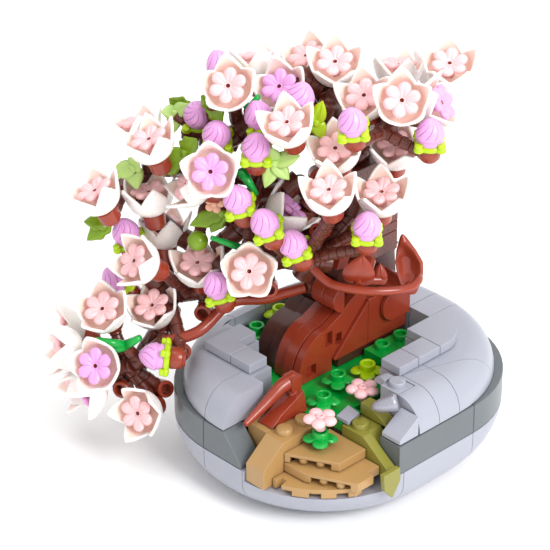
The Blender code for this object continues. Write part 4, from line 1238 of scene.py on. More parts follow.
    def vine(self) -> None:
        """Round bar that bends round the front of the trunk."""
        path = smooth_path([(-8.1, -2.0, 61.4), (-3.9, -4.5, 58.4), (0.2, -6.5, 57.8), (6.4, -7.5, 57.3),
                            (11.6, -7.2, 57.0), (16.7, -5.6, 56.5), (20.4, -3.0, 56.0), (22.3, 0.0, 56.3),
                            (22.7, 3.0, 55.8)], 7)
        form = Form()
        form.tube(path, [1.3] * len(path), 18)
        present(form.to_object("vine_skin", [RED_BROWN_ABS], WORLD, 0.15), "red_brown", "vine_bar")


def smooth_path(points: list[Point], steps: int) -> list[Point]:
    """Run a smooth curve through points.

    Args:
        points: The points that it passes.
        steps: How many steps it takes between each two.

    Returns:
        The curve's points.
    """
    path = [Vector(point) for point in points]
    made = []
    for i in range(len(path) - 1):
        before, after = path[max(i - 1, 0)], path[min(i + 2, len(path) - 1)]
        for k in range(steps):
            t = k / steps
            made.append(tuple(0.5 * (2.0 * path[i] + (path[i + 1] - before) * t
                                     + (2.0 * before - 5.0 * path[i] + 4.0 * path[i + 1] - after) * t ** 2
                                     + (3.0 * path[i] - before - 3.0 * path[i + 1] + after) * t ** 3)))
    return made + [tuple(path[-1])]


def smooth_values(values: list[float], steps: int) -> list[float]:
    """Fill in values evenly between the given ones.

    Args:
        values: The given values.
        steps: How many steps lie between each two.

    Returns:
        All the values.
    """
    made = []
    for low, high in zip(values, values[1:]):
        made += [low + (high - low) * k / steps for k in range(steps)]
    return made + [values[-1]]


def facing(reach: Vector) -> Matrix:
    """Turn of a leaf that points along a reach, with its face to the front and up.

    Args:
        reach: From the leaf's root to its tip.

    Returns:
        The turn.
    """
    up = reach.normalized()
    face = Vector((0.0, -0.8, 0.6))
    face = (face - up * face.dot(up)).normalized()
    return Matrix(((-face).cross(up), -face, up)).transposed().to_4x4()


def add_leaf(form: Form, width: float, length: float, bend: float, thick: float, place: Matrix,
             root: float = 0.14, lobes: float = 0.0) -> None:
    """Add a pointed leaf with a midrib, its root at the place and its tip up.

    Args:
        form: The form that takes it.
        width: Its widest measure.
        length: From root to tip.
        bend: How far the tip bows toward the leaf's face.
        thick: Thickness at the midrib.
        place: Its root and turn; the leaf stands in the X-Z plane.
        root: How wide its root is, from 0 for a point.
        lobes: How deep the waves of its edge are, as a share of its width.
    """
    rows, columns = 16, 8
    sink, rib_height = 0.6, 0.22
    rings = []
    for row in range(rows + 1):
        share = row / rows
        swell = max(0.0, sin(pi * (root + (1.0 - root) * share) ** 0.8))
        half = width / 2.0 * max(0.05, swell ** 0.8 + 0.1 * (1.0 - share))
        half *= 1.0 - lobes * cos(5.0 * pi * share) * swell
        centre = -bend * share ** 1.15
        fullness = 0.35 + 0.65 * sin(pi * share * 0.9 + 0.3)
        height = length * share - sink
        front, back = [], []
        for column in range(columns + 1):
            across = -1.0 + 2.0 * column / columns
            body = thick / 2.0 * (1.0 - across * across) ** 0.5 * fullness
            rib = rib_height * (1.0 - min(1.0, abs(across) * 4.0))
            front.append((half * across, centre - body + rib, height))
            back.append((half * across, centre + body, height))
        rings.append(front + back[::-1][1:-1])
    form.loft(rings, 0, place)


class PetalTint(Enum):
    """The plastic of a bloom's inner flower."""

    PINK = "pink"
    LILAC = "lilac"

    @property
    def finish(self) -> MouldedPlastic:
        """The finish of this tint."""
        return LILAC_ABS if self is PetalTint.LILAC else PINK_ABS


class LeafTint(Enum):
    """The plastic of a leaf plant."""

    PALE = "pale"
    DEEP = "deep"
    BRIGHT = "bright"
    LIME = "lime"

    @property
    def finish(self) -> MouldedPlastic:
        """The finish of this tint."""
        return {LeafTint.PALE: PALE_GREEN_ABS, LeafTint.DEEP: LEAF_GREEN_ABS,
                LeafTint.BRIGHT: GREEN_ABS, LeafTint.LIME: LIME_ABS}[self]


@dataclass(frozen=True)
class Seat:
    """Where a piece stands on a branch: base point, tilt from upright and heading in degrees."""

    base: Point
    tilt: float
    heading: float


@dataclass(frozen=True)
class Bloom(Seat):
    """A bloom; one with a label stands for its own node of the frame."""

    label: str = ""
    tint: PetalTint = PetalTint.PINK


@dataclass(frozen=True)
class Bud(Seat):
    """A bud on its calyx."""


@dataclass(frozen=True)
class Plant:
    """Leaves on one root: their root, their tips, plastic and width; without tips, a round bead."""

    base: Point
    tips: tuple
    tint: LeafTint
    width: float


@dataclass(frozen=True)
class Socket(Seat):
    """An open end of a round brick."""


@dataclass(frozen=True)
class Spray:
    """A branch: the runs of its bars, what it carries, and its runs of thick round bricks.

    Points of a run count from 0. Where smooth is set, a run is one smooth bar from point 1 to
    the point of that number, and beads before and after it.
    """

    name: str
    runs: tuple
    blooms: tuple
    buds: tuple
    plants: tuple = ()
    smooth: int = 0
    thick_runs: tuple = ()
    small_flowers: tuple = ()
    sockets: tuple = ()


LILAC = PetalTint.LILAC

# Material slots of a bloom, of a bud and of a branch
CUP_OUTSIDE, CUP_INSIDE, PETALS, FLOWER_HOLE = range(4)
SWIRL, CALYX, BUD_BRICK, SWIRL_GROOVE_SHADE = range(4)
SHADED_BARS, RED_BARS = range(2)

# The five branches, from the top left one to the lowest, in world millimetres and degrees
SPRAYS = (
    Spray(
        "spray_top_left",
        runs=(((-3.9, 17.2, 98), (-7.6, 20.9, 98), (-16, 19, 98), (-26, 14, 98), (-38, 12, 96)),),
        blooms=(Bloom((-31, 4, 114), 45, -100, "top_left"),
                Bloom((-16, 14.3, 108), 40, -115, "top_left_lilac", LILAC),
                Bloom((-2, 17, 113), 25, -95, "top_middle"),
                Bloom((-14, -9, 107), 25, -120, "upper_left_middle"),
                Bloom((-24, 23, 109), 20, 110),
                Bloom((-8, 28, 109), 25, -150)),
        buds=(Bud((-41, 13, 101), 40, -90), Bud((-35, 2, 99), 20, -100), Bud((-22, 0.5, 105), 20, 180),
              Bud((-24, -6, 99), 15, -90), Bud((-13, -1.2, 111.6), 15, 0), Bud((-33, 13, 114), 25, 150)),
        plants=(Plant((-44, 16, 102), ((-49.5, 16, 106.5),), LeafTint.DEEP, 5.6),
                Plant((-47.5, 12, 104), ((-51.5, 11, 104.5), (-48, 11, 98), (-43, 11, 107)),
                      LeafTint.PALE, 4.2),
                Plant((-19, -6, 98), ((-11.5, -7, 100.5), (-21.5, -7, 90.5), (-15, -7, 93),
                                      (-20, -7, 103.5)), LeafTint.PALE, 4.6),
                Plant((-37, 6, 110), ((-34, 5, 104), (-40, 5, 113)), LeafTint.DEEP, 4.6),
                Plant((-7.5, -1, 108), ((-5.5, -2, 115.5), (-5.5, -2, 103.5), (-10, -2, 111.5)),
                      LeafTint.LIME, 4.4),
                Plant((-26, 4, 109.5), ((-23.5, 3, 114), (-28.5, 3, 112.5)), LeafTint.BRIGHT, 2.6)),
        thick_runs=(((-22.5, 10, 105.5), (-29, 10, 99), (-37, 10, 93.5)),
                    ((-3.5, 8, 109.5), (-7, 8, 101.5), (-14, 6, 99)),
                    ((-45.5, 14, 98), (-38.5, 14, 96.5), (-29.5, 14, 93.5)),
                    ((-13, 16, 114.5), (-6, 16, 110), (-2.5, 16, 103.5)))),
    Spray(
        "spray_top_right",
        runs=(((4.5, 17.2, 98), (7.8, 20.5, 98), (16, 19, 99), (25, 16, 100)),
              ((7.8, 20.5, 98), (16, 19, 99), (13, 4, 105.5), (10, -6, 107))),
        blooms=(Bloom((7, 5, 109), 30, -110, "top_right"),
                Bloom((16, -4, 114), 45, -90, "top_right_front"),
                Bloom((30, 18, 112), 22, -90, "top_right_end"),
                Bloom((16, 25, 106), 12, 90),
                Bloom((26, 35, 102), 20, 60),
                Bloom((22, 3, 110), 60, -20, "", LILAC),
                Bloom((15, 6, 92), 18, -95)),
        buds=(Bud((24, -9, 105), 10, -90), Bud((3, -14, 111), 15, -120)),
        thick_runs=(((13, 10, 104), (8, 10, 97.5), (3, 10, 91.5)),
                    ((22, 14, 109), (15, 14, 103.5), (8.5, 14, 101.5)))),
    Spray(
        "spray_left",
        runs=(((-1.35, 9.35, 83), (-5.4, 5.3, 83), (-16, 8, 83), (-26, 10, 84), (-40, 14, 84),
               (-54, 19, 82), (-63, 14, 78)),),
        blooms=(Bloom((-52, 1, 95), 20, -160, "left_high"),
                Bloom((-67, 0, 79), 25, -170, "left_end"),
                Bloom((-36, -7, 95), 60, -95, "left_lilac", LILAC),
                Bloom((-1, -4, 96.5), 25, -110, "upper_middle"),
                Bloom((-57, 13, 93), 20, 140),
                Bloom((-54, 7, 74), 12, 150),
                Bloom((-38, 1, 85), 65, -170)),
        buds=(Bud((-28, -9, 84), 20, -150),),
        plants=(Plant((-44.5, 4, 95.5), ((-40.5, 3, 100.5), (-52.5, 3, 88.5)), LeafTint.DEEP, 6.4),
                Plant((-59.5, 7, 89), ((-65.5, 6, 87), (-58.5, 6, 82.5), (-57.5, 6, 92)),
                      LeafTint.PALE, 5.2),
                Plant((-67, 6, 71.5), ((-74, 5, 72), (-73, 5, 66)), LeafTint.DEEP, 5.2),
                Plant((-34, 0, 78.5), ((-43, -1, 74.5), (-37, -1, 72.5)), LeafTint.DEEP, 5.0),
                Plant((-41, 0, 69), (), LeafTint.DEEP, 6.0),
                Plant((-28, -4, 93.5), ((-24, -5, 87),), LeafTint.BRIGHT, 3.0),
                Plant((-27, -4, 68.5), ((-37, -5, 73),), LeafTint.BRIGHT, 2.4)),
        thick_runs=(((-12, 6, 86.5), (-16, 4, 83), (-22.5, 6, 80.5), (-30, 6, 79)),
                    ((-5.5, 4, 83.5), (-10, 2, 79), (-12, 2, 71)),
                    ((-42, 12, 86), (-37.5, 12, 79), (-33.5, 12, 68.5)),
                    ((-56, 13, 71), (-49, 13, 64.5), (-40, 13, 59))),
        small_flowers=((-36, 1, 81),),
        sockets=(Socket((-6.5, -2, 91), 80, -80),)),
    Spray(
        "spray_middle",
        runs=(((-1.35, 10.8, 62), (-5.4, 6.75, 62), (-14, 4, 61), (-24, 5, 57), (-36, 5, 50),
               (-46, 8, 46), (-54, 12, 44)),
              ((-5.4, 6.75, 62), (-7, 0, 65), (-10, -6, 67), (-15, -8, 68))),
        blooms=(Bloom((-3, -18, 90.5), 20, -110, "middle_right"),
                Bloom((11, -6, 83), 15, -90, "lower_right"),
                Bloom((-19, -2, 76), 45, 5, "", LILAC),
                Bloom((-54, -2, 61), 55, -150, "left_middle"),
                Bloom((-40.5, 5, 53.5), 20, -110, "left_inner"),
                Bloom((-26, -5, 62), 60, -90, "front_open"),
                Bloom((-51, 14, 59), 12, 110)),
        buds=(Bud((-61, 7, 63.5), 15, -170), Bud((-63, 10, 47), 40, -170), Bud((-34, -6, 54), 20, -160),
              Bud((-20, -13, 79), 25, -150), Bud((-12, -11, 71), 25, -160), Bud((7, -17, 80), 10, -90)),
        plants=(Plant((-73.5, 9, 41.5), ((-75, 8, 44.5), (-71.5, 8, 44)), LeafTint.LIME, 4.0),),
        thick_runs=(((-3, 2, 61), (-10.5, 0, 63.5), (-18.5, 0, 66), (-27, 2, 73)),
                    ((-20.5, 0, 59), (-26, 0, 54.5), (-36.5, 4, 59.5)),
                    ((3, 4, 75.5), (5.5, 6, 82.5)),
                    ((-9.5, 8, 84), (-11.5, 8, 73), (-16, 8, 63), (-23, 8, 58)),
                    ((-2, 4, 79), (-6.5, 4, 64), (-11.5, 4, 55)),
                    ((-23, 9, 76), (-29.5, 9, 68), (-36, 9, 61))),
        sockets=(Socket((-7, -6, 75.5), 75, -120), Socket((-20.5, -2, 54), 80, -90),
                 Socket((-40, 0, 44.5), 85, -100))),
    Spray(
        "spray_low",
        runs=(((-6.8, 10.85, 49.5), (-10.25, 7.4, 49.5), (-16, 6.6, 48), (-22, 6, 46.3), (-32, 4, 46),
               (-41, -4, 41), (-51, -5, 38), (-60, -7.5, 31.5), (-66, -2, 26)),),
        blooms=(Bloom((-67, -1, 43), 35, -115, "low_left"),
                Bloom((-53, 5, 40), 30, -120, "low_inner"),
                Bloom((-68, -12, 34), 60, -110, "low_lilac", LILAC),
                Bloom((-55, -11, 19), 75, -120, "low_end"),
                Bloom((-76, 12, 29), 75, 180),
                Bloom((-75, -5, 35), 85, 190),
                Bloom((-73, 6, 18), 95, -160),
                Bloom((-70, -8, 27), 125, -150, "", LILAC)),
        buds=(Bud((-49, -12, 37), 85, 180),),
        plants=(Plant((-62, -9, 39), ((-70.5, -10, 41.5), (-57.5, -10, 42.5), (-66.5, -10, 37.5)),
                      LeafTint.BRIGHT, 3.2),),
        smooth=6,
        thick_runs=(((-55.5, 2, 32.5), (-59.5, 2, 25.5), (-65, 2, 20)),
                    ((-49, 4, 45), (-52.5, 2, 37.5), (-55.5, 2, 32.5)),
                    ((-49.5, 9, 42), (-53.5, 9, 49), (-58.5, 9, 56.5)),
                    ((-69.5, 4, 28.5), (-65.5, 4, 21.5), (-63.5, 4, 14.5))),
        sockets=(Socket((-50.5, -8, 23.5), 70, -60), Socket((-64, -8, 23), 80, -110),
                 Socket((-45.5, -6, 35), 75, -70))),
)


def add_round_brick(form: Form, place: Matrix, slot: int) -> None:
    """The round brick under a bloom or a bud, with its top at the place.

    Args:
        form: The form that takes it.
        place: The middle of its top and its turn.
        slot: Its material slot.
    """
    low, wide = -ROUND_BRICK_HEIGHT, ROUND_BRICK_RADIUS
    form.turned([(2.2, low), (2.4, low + 0.15), (2.4, low + 0.9), (wide - 0.3, low + 0.95),
                 (wide - 0.15, low + 1.15), (wide, -0.25), (wide - 0.2, -0.02), (0.1, -0.02)],
                28, slot, place)


def seated(name: str, mesh: bpy.types.Mesh, place: Matrix) -> bpy.types.Object:
    """Set a mesh at a place given in millimetres.

    Args:
        name: The new object's name.
        mesh: The mesh, which other objects may share.
        place: Its place in millimetres.

    Returns:
        The new object.
    """
    item = bpy.data.objects.new(name, mesh)
    metres = place.copy()
    metres.translation = place.translation * MM
    item.matrix_basis = metres
    bpy.context.scene.collection.objects.link(item)
    return item


@dataclass
class BloomShape:
    """The shape of a bloom: a five-petalled cup round a small flower on a stalk."""

    collar: float = 3.1
    tip: float = 10.1
    valley: float = 5.0
    wall: float = 0.9
    cup_floor: float = 2.2

    def wall_radius(self, height: float) -> float:
        """Radius of the cup's outer skin at a height.

        Args:
            height: Height over the cup's foot.

        Returns:
            The radius.
        """
        known = ((0.0, self.collar), (0.5, 3.9), (1.2, 4.9), (2.2, 5.75), (3.4, 6.4), (5.0, 6.95),
                 (7.0, 7.5), (8.6, 8.1), (10.2, 8.6))
        for (low, start), (high, end) in zip(known, known[1:]):
            if height <= high:
                return start + (end - start) * (height - low) / (high - low)
        return known[-1][1]

    def cup_ring(self, tops: list[float], share: float, inset: float = 0.0, floor: float = 0.0,
                 lift: float = 0.0) -> Ring:
        """One ring of the cup's skin between a floor and the petals' tops.

        Args:
            tops: The petals' height at each point of the ring.
            share: How far up it is, from 0 at the floor to 1 at the tops.
            inset: How far it lies inside the outer skin.
            floor: Height of the floor.
            lift: How far it is raised over its place on the skin.

        Returns:
            The ring's points.
        """
        ring = []
        for k, top in enumerate(tops):
            turn = 2.0 * pi * k / len(tops)
            height = floor + (top - floor) * share
            reach = self.wall_radius(height) - inset
            ring.append((reach * cos(turn), reach * sin(turn), height + lift))
        return ring

    def cup(self, form: Form) -> None:
        """Five-petalled cup: a collar, a bulging wall and petals with V notches.

        Args:
            form: The form that takes it.
        """
        count, rows, inner_rows = 70, 10, 6
        tops = []
        for k in range(count):
            phase = (5.0 * k / count) % 1.0
            off = 2.0 * min(phase, 1.0 - phase)
            tops.append(self.valley + (self.tip - self.valley) * (1.0 - off ** 1.05))
        rings = [ring_at(count, 2.4, 0.0)]
        rings += [self.cup_ring(tops, (row / rows) ** 1.2) for row in range(rows + 1)]
        for across, lift in ((0.12, 0.26), (0.5, 0.4), (0.88, 0.26)):
            rings.append(self.cup_ring(tops, 1.0, self.wall * across, 0.0, lift))
        outer = len(rings)
        floor = self.cup_floor
        for row in range(inner_rows):
            rings.append(self.cup_ring(tops, 0.94 - row / inner_rows, self.wall, floor + 0.4))
        rings += [ring_at(count, radius, floor) for radius in (3.4, 0.1)]
        form.loft(rings, [CUP_OUTSIDE] * outer + [CUP_INSIDE] * (len(rings) - 1 - outer))

    def flower(self, form: Form) -> None:
        """Six broad creased petals that touch round a dark open middle, on a short stalk.

        Args:
            form: The form that takes it.
        """
        form.turned([(1.7, 1.8), (1.5, 5.4)], 20, PETALS)
        tilt = Matrix.Rotation(radians(-14.0), 4, "Y")
        for k in range(6):
            turn = Matrix.Rotation(2.0 * pi * k / 6, 4, "Z")
            add_petal(form, turn @ moved(2.95, 0.0, 6.9) @ tilt, 2.45, 1.85, 1.05, PETALS)
        form.turned([(1.1, 5.2), (1.1, 6.75), (0.95, 6.95), (0.62, 6.9), (0.55, 5.9), (0.05, 5.8)], 24,
                    [PETALS] * 3 + [FLOWER_HOLE] * 2)

    def mesh(self, tint: PetalTint) -> bpy.types.Mesh:
        """Make the mesh that all the blooms of a tint share.

        Args:
            tint: The plastic of the inner flower.

        Returns:
            The shared mesh.
        """
        form = Form()
        self.cup(form)
        self.flower(form)
        # The cups' inner faces take the peach tint, a painted reflection on the white plastic
        finishes = [WHITE_ABS, CUP_REFLECTION_ABS, tint.finish, RED_BROWN_ABS]
        return form.to_mesh("bloom_" + tint.value, finishes, WORLD)


@dataclass
class BudShape:
    """The shape of a bud: a swirled dome over a smooth band, on its calyx and a round brick."""

    radius: float = 4.1
    height: float = 9.1
    band: float = 4.1
    lobes: int = 9

    def calyx(self, form: Form) -> None:
        """The lime calyx under a bud: a round dish with four knobs.

        Args:
            form: The form that takes it.
        """
        form.turned([(2.6, 0.0), (3.7, 0.05), (4.2, 0.5), (4.25, 1.2), (4.0, 1.7), (3.2, 1.8)], 32, CALYX)
        for k in range(4):
            place = Matrix.Rotation(radians(45.0 + 90.0 * k), 4, "Z") @ moved(4.2, 0.0, 0.95)
            add_pebble(form, place, 1.7, 1.5, 1.1, CALYX)
            form.turned([(1.15, 0.3), (1.15, 1.9), (0.9, 2.1), (0.1, 2.15)], 16, CALYX,
                        place @ moved(0.3, 0.0, -0.3))

    def swirl(self, form: Form) -> None:
        """The bud's dome of lobes that wind toward its tip, with a narrow groove between each two.

        Args:
            form: The form that takes it.
        """
        # Steps across one lobe, each with the depth of the groove there
        lobe = ((0.0, 0.34), (0.035, 0.16), (0.09, 0.0), (0.22, 0.0), (0.36, 0.0), (0.5, 0.0), (0.64, 0.0),
                (0.78, 0.0), (0.91, 0.0), (0.965, 0.16))
        rows, wind = 16, 1.1
        count = self.lobes * len(lobe)
        foot = self.band - 0.25
        verts, faces, slots = [], [], []
        for row in range(rows + 1):
            share = row / rows
            height = foot + (self.height - self.band + 0.25) * share
            reach = self.radius * max(0.04, cos(pi / 2.0 * share) ** 0.6)
            fade = min(1.0, share * 4.0) * min(1.0, (1.0 - share) * 4.0)
            for k in range(count):
                phase, depth = lobe[k % len(lobe)]
                around = 2.0 * pi * (k // len(lobe) + phase) / self.lobes + wind * share
                size = reach - depth * fade
                verts.append((size * cos(around), size * sin(around), height))
        for row in range(rows):
            low, high = row * count, (row + 1) * count
            for k in range(count):
                j = (k + 1) % count
                faces.append((low + k, low + j, high + j, high + k))
                # Faces along each groove take the darker lilac, painted shade in the crease
                groove = k % len(lobe) in (0, len(lobe) - 1) and 2 <= row < rows - 2
                slots.append(SWIRL_GROOVE_SHADE if groove else SWIRL)
        faces += [tuple(range(count - 1, -1, -1)), tuple(range(rows * count, (rows + 1) * count))]
        form.add(verts, faces, slots + [SWIRL, SWIRL])

    def mesh(self) -> bpy.types.Mesh:
        """Make the mesh that all the buds share.

        Returns:
            The shared mesh.
        """
        band = self.band
        form = Form()
        add_round_brick(form, WORLD, BUD_BRICK)
        self.calyx(form)
        form.turned([(2.9, 1.2), (3.4, 1.4), (3.7, 2.0), (3.8, band - 0.3), (3.7, band - 0.1), (3.3, band)],
                    48, SWIRL)
        self.swirl(form)
        return form.to_mesh("bud_shape", [LILAC_ABS, LIME_ABS, RED_BROWN_ABS, LILAC_GROOVE_SHADE_ABS], WORLD)


@dataclass
class Branch:
    """One branch: the bars and bricks made as one form, and the pieces that it carries."""

    spray: Spray
    meshes: dict[str, bpy.types.Mesh]
    bars: Form = field(default_factory=Form)
    bar_radius: float = 2.25
    bar_pitch: float = 4.8
    smooth_radius: float = 1.7
    thick_radius: float = 3.1
    thick_pitch: float = 5.2
    twig_radius: float = 1.85
    twig_pitch: float = 3.2
    drop: float = ROUND_BRICK_HEIGHT - 1.0
    spin: float = 18.0

    def build(self) -> None:
        """Build the bars, knots and bricks, then what the branch carries."""
        spray = self.spray
        for points in spray.runs:
            self.run(points)
        for points in spray.thick_runs:
            self.thick_run(points)
        for socket in spray.sockets:
            self.socket(socket)
        for number, bloom in enumerate(spray.blooms):
            self.bloom(number, bloom)
        for number, bud in enumerate(spray.buds):
            self.bud(number, bud)
        for number, plant in enumerate(spray.plants):
            self.plant(number, plant)
        for number, base in enumerate(spray.small_flowers):
            self.small_flower(number, base)
        # Bars, knots and twigs take the darker reddish brown copy, painted shade; round bricks and sockets
        # take the plain reddish brown
        item = self.bars.to_object(spray.name + "_bars", [SHADED_RED_BROWN_ABS, RED_BROWN_ABS], WORLD, 0.15)
        present(item, "core_brown", spray.name)

    def beaded(self, start: Vector | Point, end: Vector | Point, radius: float, pitch: float) -> None:
        """Run a bar of short round bricks between two points.

        Args:
            start: Where it starts.
            end: Where it ends.
            radius: Radius of the bricks.
            pitch: About how long one brick is.
        """
        reach = Vector(end) - Vector(start)
        count = max(1, round(reach.length / pitch))
        step = reach.length / count
        neck = 0.35
        profile = []
        for k in range(count):
            low = k * step
            profile += [(radius - neck, low + 0.02), (radius, low + 0.3), (radius, low + step * 0.62),
                        (radius - 0.12, low + step * 0.66), (radius - 0.12, low + step - 0.15),
                        (radius - neck, low + step - 0.02)]
        self.bars.turned(profile, 20, SHADED_BARS, along(tuple(start), tuple(reach)))

    def twig(self, base: Point, turn: Matrix, drop: float) -> None:
        """A straight bar from a piece's foot to the nearest point of the branch.

        Args:
            base: The piece's base point.
            turn: The piece's turn.
            drop: How far below the base point the foot is.
        """
        foot = Vector(base) - turn @ Vector((0.0, 0.0, drop))
        spots = []
        for points in self.spray.runs:
            for start, end in zip(points[1:], points[2:]):
                start, end = Vector(start), Vector(end)
                span = end - start
                share = max(0.0, min(1.0, (foot - start).dot(span) / span.length_squared))
                spots.append(start + span * share)
        root = min(spots, key=lambda spot: (spot - foot).length)
        if (root - foot).length > 1.0:
            self.beaded(root, foot, self.twig_radius, self.twig_pitch)

    def run(self, points: tuple) -> None:
        """One run of bars, with a knot at every second point.

        Args:
            points: The run's points.
        """
        smooth = self.spray.smooth
        for number, (start, end) in enumerate(zip(points, points[1:])):
            if smooth and 1 <= number < smooth:
                continue
            self.beaded(start, end, self.bar_radius, self.bar_pitch)
        for point in points[2 + smooth::2]:
            self.bars.turned([(2.4, -2.4), (3.0, -2.1), (3.0, 0.9), (2.4, 1.0), (2.4, 2.4)], 20, SHADED_BARS,
                             moved(*point))
        if smooth:
            path = smooth_path(list(points[1:smooth + 1]), 6)
            self.bars.tube(path, [self.smooth_radius] * len(path), 18, RED_BARS)

    def thick_run(self, points: tuple) -> None:
        """A run of thick round bricks, held by a twig at its first point.

        Args:
            points: The run's points.
        """
        for start, end in zip(points, points[1:]):
            self.beaded(start, end, self.thick_radius, self.thick_pitch)
        self.twig(points[0], WORLD, 0.0)

    def socket(self, socket: Socket) -> None:
        """A round brick with an open end, and its twig.

        Args:
            socket: Where it stands.
        """
        turn = lean(socket.tilt, socket.heading)
        self.bars.turned([(2.0, -4.4), (2.5, -4.2), (2.6, -0.3), (2.35, 0.0), (1.65, 0.0), (1.6, -3.0),
                          (0.1, -3.0)], 24, RED_BARS, Matrix.Translation(socket.base) @ turn)
        self.twig(socket.base, turn, 3.6)

    def bloom(self, number: int, bloom: Bloom) -> None:
        """A bloom, with its round brick and its twig.

        Args:
            number: The bloom's number on the branch.
            bloom: The bloom's data.
        """
        spin, lift = (self.spin, GAP) if bloom.label else (0.0, 0.0)
        turn = lean(bloom.tilt, bloom.heading, spin)
        foot = Matrix.Translation(bloom.base) @ turn
        add_round_brick(self.bars, foot, RED_BARS)
        self.twig(bloom.base, turn, self.drop)
        name = "bloom_" + (bloom.label or "%s_%d" % (self.spray.name, number))
        mesh = self.meshes["bloom_" + bloom.tint.value]
        item = seated(name + "_petals", mesh, foot @ moved(0.0, 0.0, lift))
        present(item, "white", *([name] if bloom.label else []))

    def bud(self, number: int, bud: Bud) -> None:
        """A bud and its twig.

        Args:
            number: The bud's number on the branch.
            bud: The bud's data.
        """
        turn = lean(bud.tilt, bud.heading)
        self.twig(bud.base, turn, self.drop)
        place = Matrix.Translation(bud.base) @ turn
        present(seated("bud_%s_%d" % (self.spray.name, number), self.meshes["bud"], place), "pink")

    def small_flower(self, number: int, base: Point) -> None:
        """A small peach flower of five round petals, its face to the front.

        Args:
            number: The flower's number on the branch.
            base: Its base point.
        """
        form = Form()
        for k in range(5):
            place = Matrix.Rotation(2.0 * pi * k / 5, 4, "Z") @ moved(1.7, 0.0, 1.2)
            add_pebble(form, place, 1.3, 1.25, 0.75)
        form.turned([(0.9, -1.0), (0.9, 2.1), (0.7, 2.3), (0.1, 2.3)], 20)
        mesh = form.to_mesh("small_flower_%s_%d" % (self.spray.name, number), [PEACH_ABS], WORLD)
        place = Matrix.Translation(base) @ lean(75.0, -95.0)
        present(seated(mesh.name, mesh, place), PEACH_ABS.slot)

    def plant(self, number: int, plant: Plant) -> None:
        """A plant of leaves, shoots or a bead on one root.

        Args:
            number: The plant's number on the branch.
            plant: The plant's data.
        """
        self.twig(plant.base, WORLD, 0.4)
        form = Form()
        half = plant.width / 2.0
        if not plant.tips:
            rows = 12
            turns = [pi * k / rows for k in range(rows + 1)]
            form.turned([(half * max(0.03, sin(turn)), -half * cos(turn)) for turn in turns], 28)
        for tip in plant.tips:
            reach = Vector(tip) - Vector(plant.base)
            if plant.tint is LeafTint.BRIGHT:
                form.tube([(0.0, 0.0, 0.0), tuple(reach)], [half, half * 0.55], 16)
                continue
            lobes = 0.13 if plant.tint is LeafTint.DEEP else 0.0
            add_leaf(form, plant.width, reach.length + 0.6, 0.7, 1.1, facing(reach), 0.03, lobes)
        if plant.tips:
            form.turned([(1.0, -1.4), (1.3, -1.0), (1.3, 0.6), (1.0, 0.9), (0.1, 1.0)], 20)
        finish = plant.tint.finish
        mesh = form.to_mesh("plant_%s_%d" % (self.spray.name, number), [finish], WORLD)
        present(seated(mesh.name, mesh, Matrix.Translation(plant.base)), finish.slot)


@dataclass
class Crown:
    """Every branch with its blooms, buds and leaves."""

    bloom: BloomShape = field(default_factory=BloomShape)
    bud: BudShape = field(default_factory=BudShape)

    def build(self) -> None:
        """Build the shared meshes, then every branch."""
        meshes = {"bloom_" + tint.value: self.bloom.mesh(tint) for tint in PetalTint}
        meshes["bud"] = self.bud.mesh()
        for spray in SPRAYS:
            Branch(spray, meshes).build()


@dataclass(frozen=True)
class StudioPaper:
    """Matt white studio paper: no gloss, a faint fibre mottle."""

    name: str = "paper_studio_white_matt"
    colour: str = "#FFFFFF"
    shade: str = "#FCFCFC"
    fibre_mm: float = 4.0

    def build(self) -> bpy.types.Material:
        """Make the paper's material.

        Returns:
            The node material.
        """
        made = bpy.data.materials.new(self.name)
        made.use_nodes = True
        tree = made.node_tree
        place = add_node(tree, "ShaderNodeTexCoord").outputs["Object"]
        fibre = add_node(tree, "ShaderNodeTexNoise", {"Vector": place, "Scale": 1.0 / (self.fibre_mm * MM)})
        tone = add_node(tree, "ShaderNodeMix", {
            "Factor": fibre.outputs["Fac"], 6: linear(self.colour), 7: linear(self.shade)},
            data_type="RGBA")
        shader = tree.nodes["Principled BSDF"]
        tree.links.new(tone.outputs[2], shader.inputs["Base Color"])
        shader.inputs["Roughness"].default_value = 0.9
        shader.inputs["Specular IOR Level"].default_value = 0.1
        return made


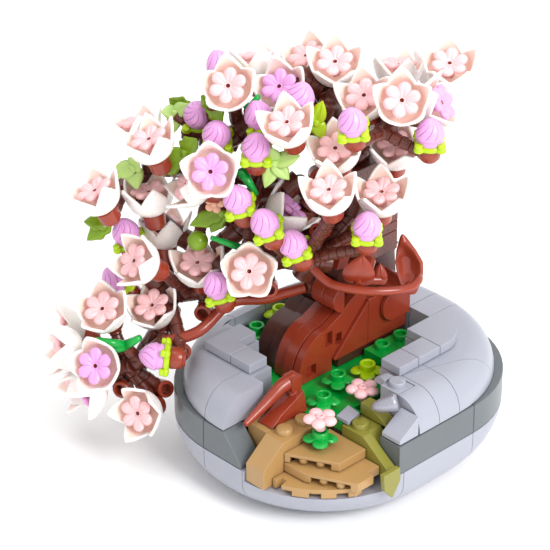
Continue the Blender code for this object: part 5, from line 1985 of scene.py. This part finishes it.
@dataclass
class Studio:
    """Pale floor, soft lights and the camera."""

    floor_half: float = 3000.0
    sky_strength: float = 0.9
    target: Point = (0.0, 0.0, 0.06)
    lens: float = 178.0
    pitch: float = 30.5
    yaw: float = 1.0
    eye: Point = (-0.0071, -0.6753, 0.4557)

    def build(self) -> None:
        """Set up the floor, the lights and the camera."""
        self.floor()
        self.lights()
        self.camera()

    def floor(self) -> None:
        """A plain pale floor under the pot."""
        half = self.floor_half
        form = Form()
        form.add([(x, y, 0.0) for x, y in rectangle(-half, half, -half, half)], [(0, 1, 2, 3)])
        mesh = form.to_mesh("studio_floor", [], WORLD)
        mesh.materials.append(StudioPaper().build())
        floor = bpy.data.objects.new("studio_floor", mesh)
        bpy.context.scene.collection.objects.link(floor)

    def lights(self) -> None:
        """White surroundings and large soft lamps."""
        world = bpy.data.worlds.new("studio_white")
        bpy.context.scene.world = world
        bpy.context.scene.view_settings.view_transform = "Standard"
        world.use_nodes = True
        sky = world.node_tree.nodes["Background"]
        sky.inputs["Color"].default_value = (1.0, 1.0, 1.0, 1.0)
        sky.inputs["Strength"].default_value = self.sky_strength
        for name, place, size, power in (("lamp_key", (0.5, -0.55, 0.6), 0.4, 6.5),
                                         ("lamp_top", (0.0, 0.1, 0.9), 0.6, 2.5)):
            data = bpy.data.lights.new(name, "AREA")
            data.size = size
            data.energy = power
            lamp = bpy.data.objects.new(name, data)
            lamp.location = place
            aim = Vector(self.target) - Vector(place)
            lamp.rotation_euler = aim.to_track_quat("-Z", "Y").to_euler()
            bpy.context.scene.collection.objects.link(lamp)

    def camera(self) -> None:
        """Camera at the photograph's angle, a little above the crown."""
        yaw, pitch = radians(self.yaw), radians(self.pitch)
        back = Vector((sin(yaw) * cos(pitch), -cos(yaw) * cos(pitch), sin(pitch)))
        right = Vector((cos(yaw), sin(yaw), 0.0))
        up = back.cross(right)
        data = bpy.data.cameras.new("camera")
        data.lens = self.lens
        data.sensor_width = 36.0
        camera = bpy.data.objects.new("camera", data)
        turn = Matrix((right, up, back)).transposed().to_4x4()
        camera.matrix_world = Matrix.Translation(self.eye) @ turn
        bpy.context.scene.collection.objects.link(camera)
        bpy.context.scene.camera = camera


def main() -> None:
    """Build the whole scene in order."""
    logging.basicConfig(level=logging.INFO, format="%(name)s: %(message)s")
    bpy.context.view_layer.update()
    Studio().build()
    Pot().build()
    RockGarden().build()
    Trunk().build()
    Crown().build()


if __name__ == "__main__":
    main()
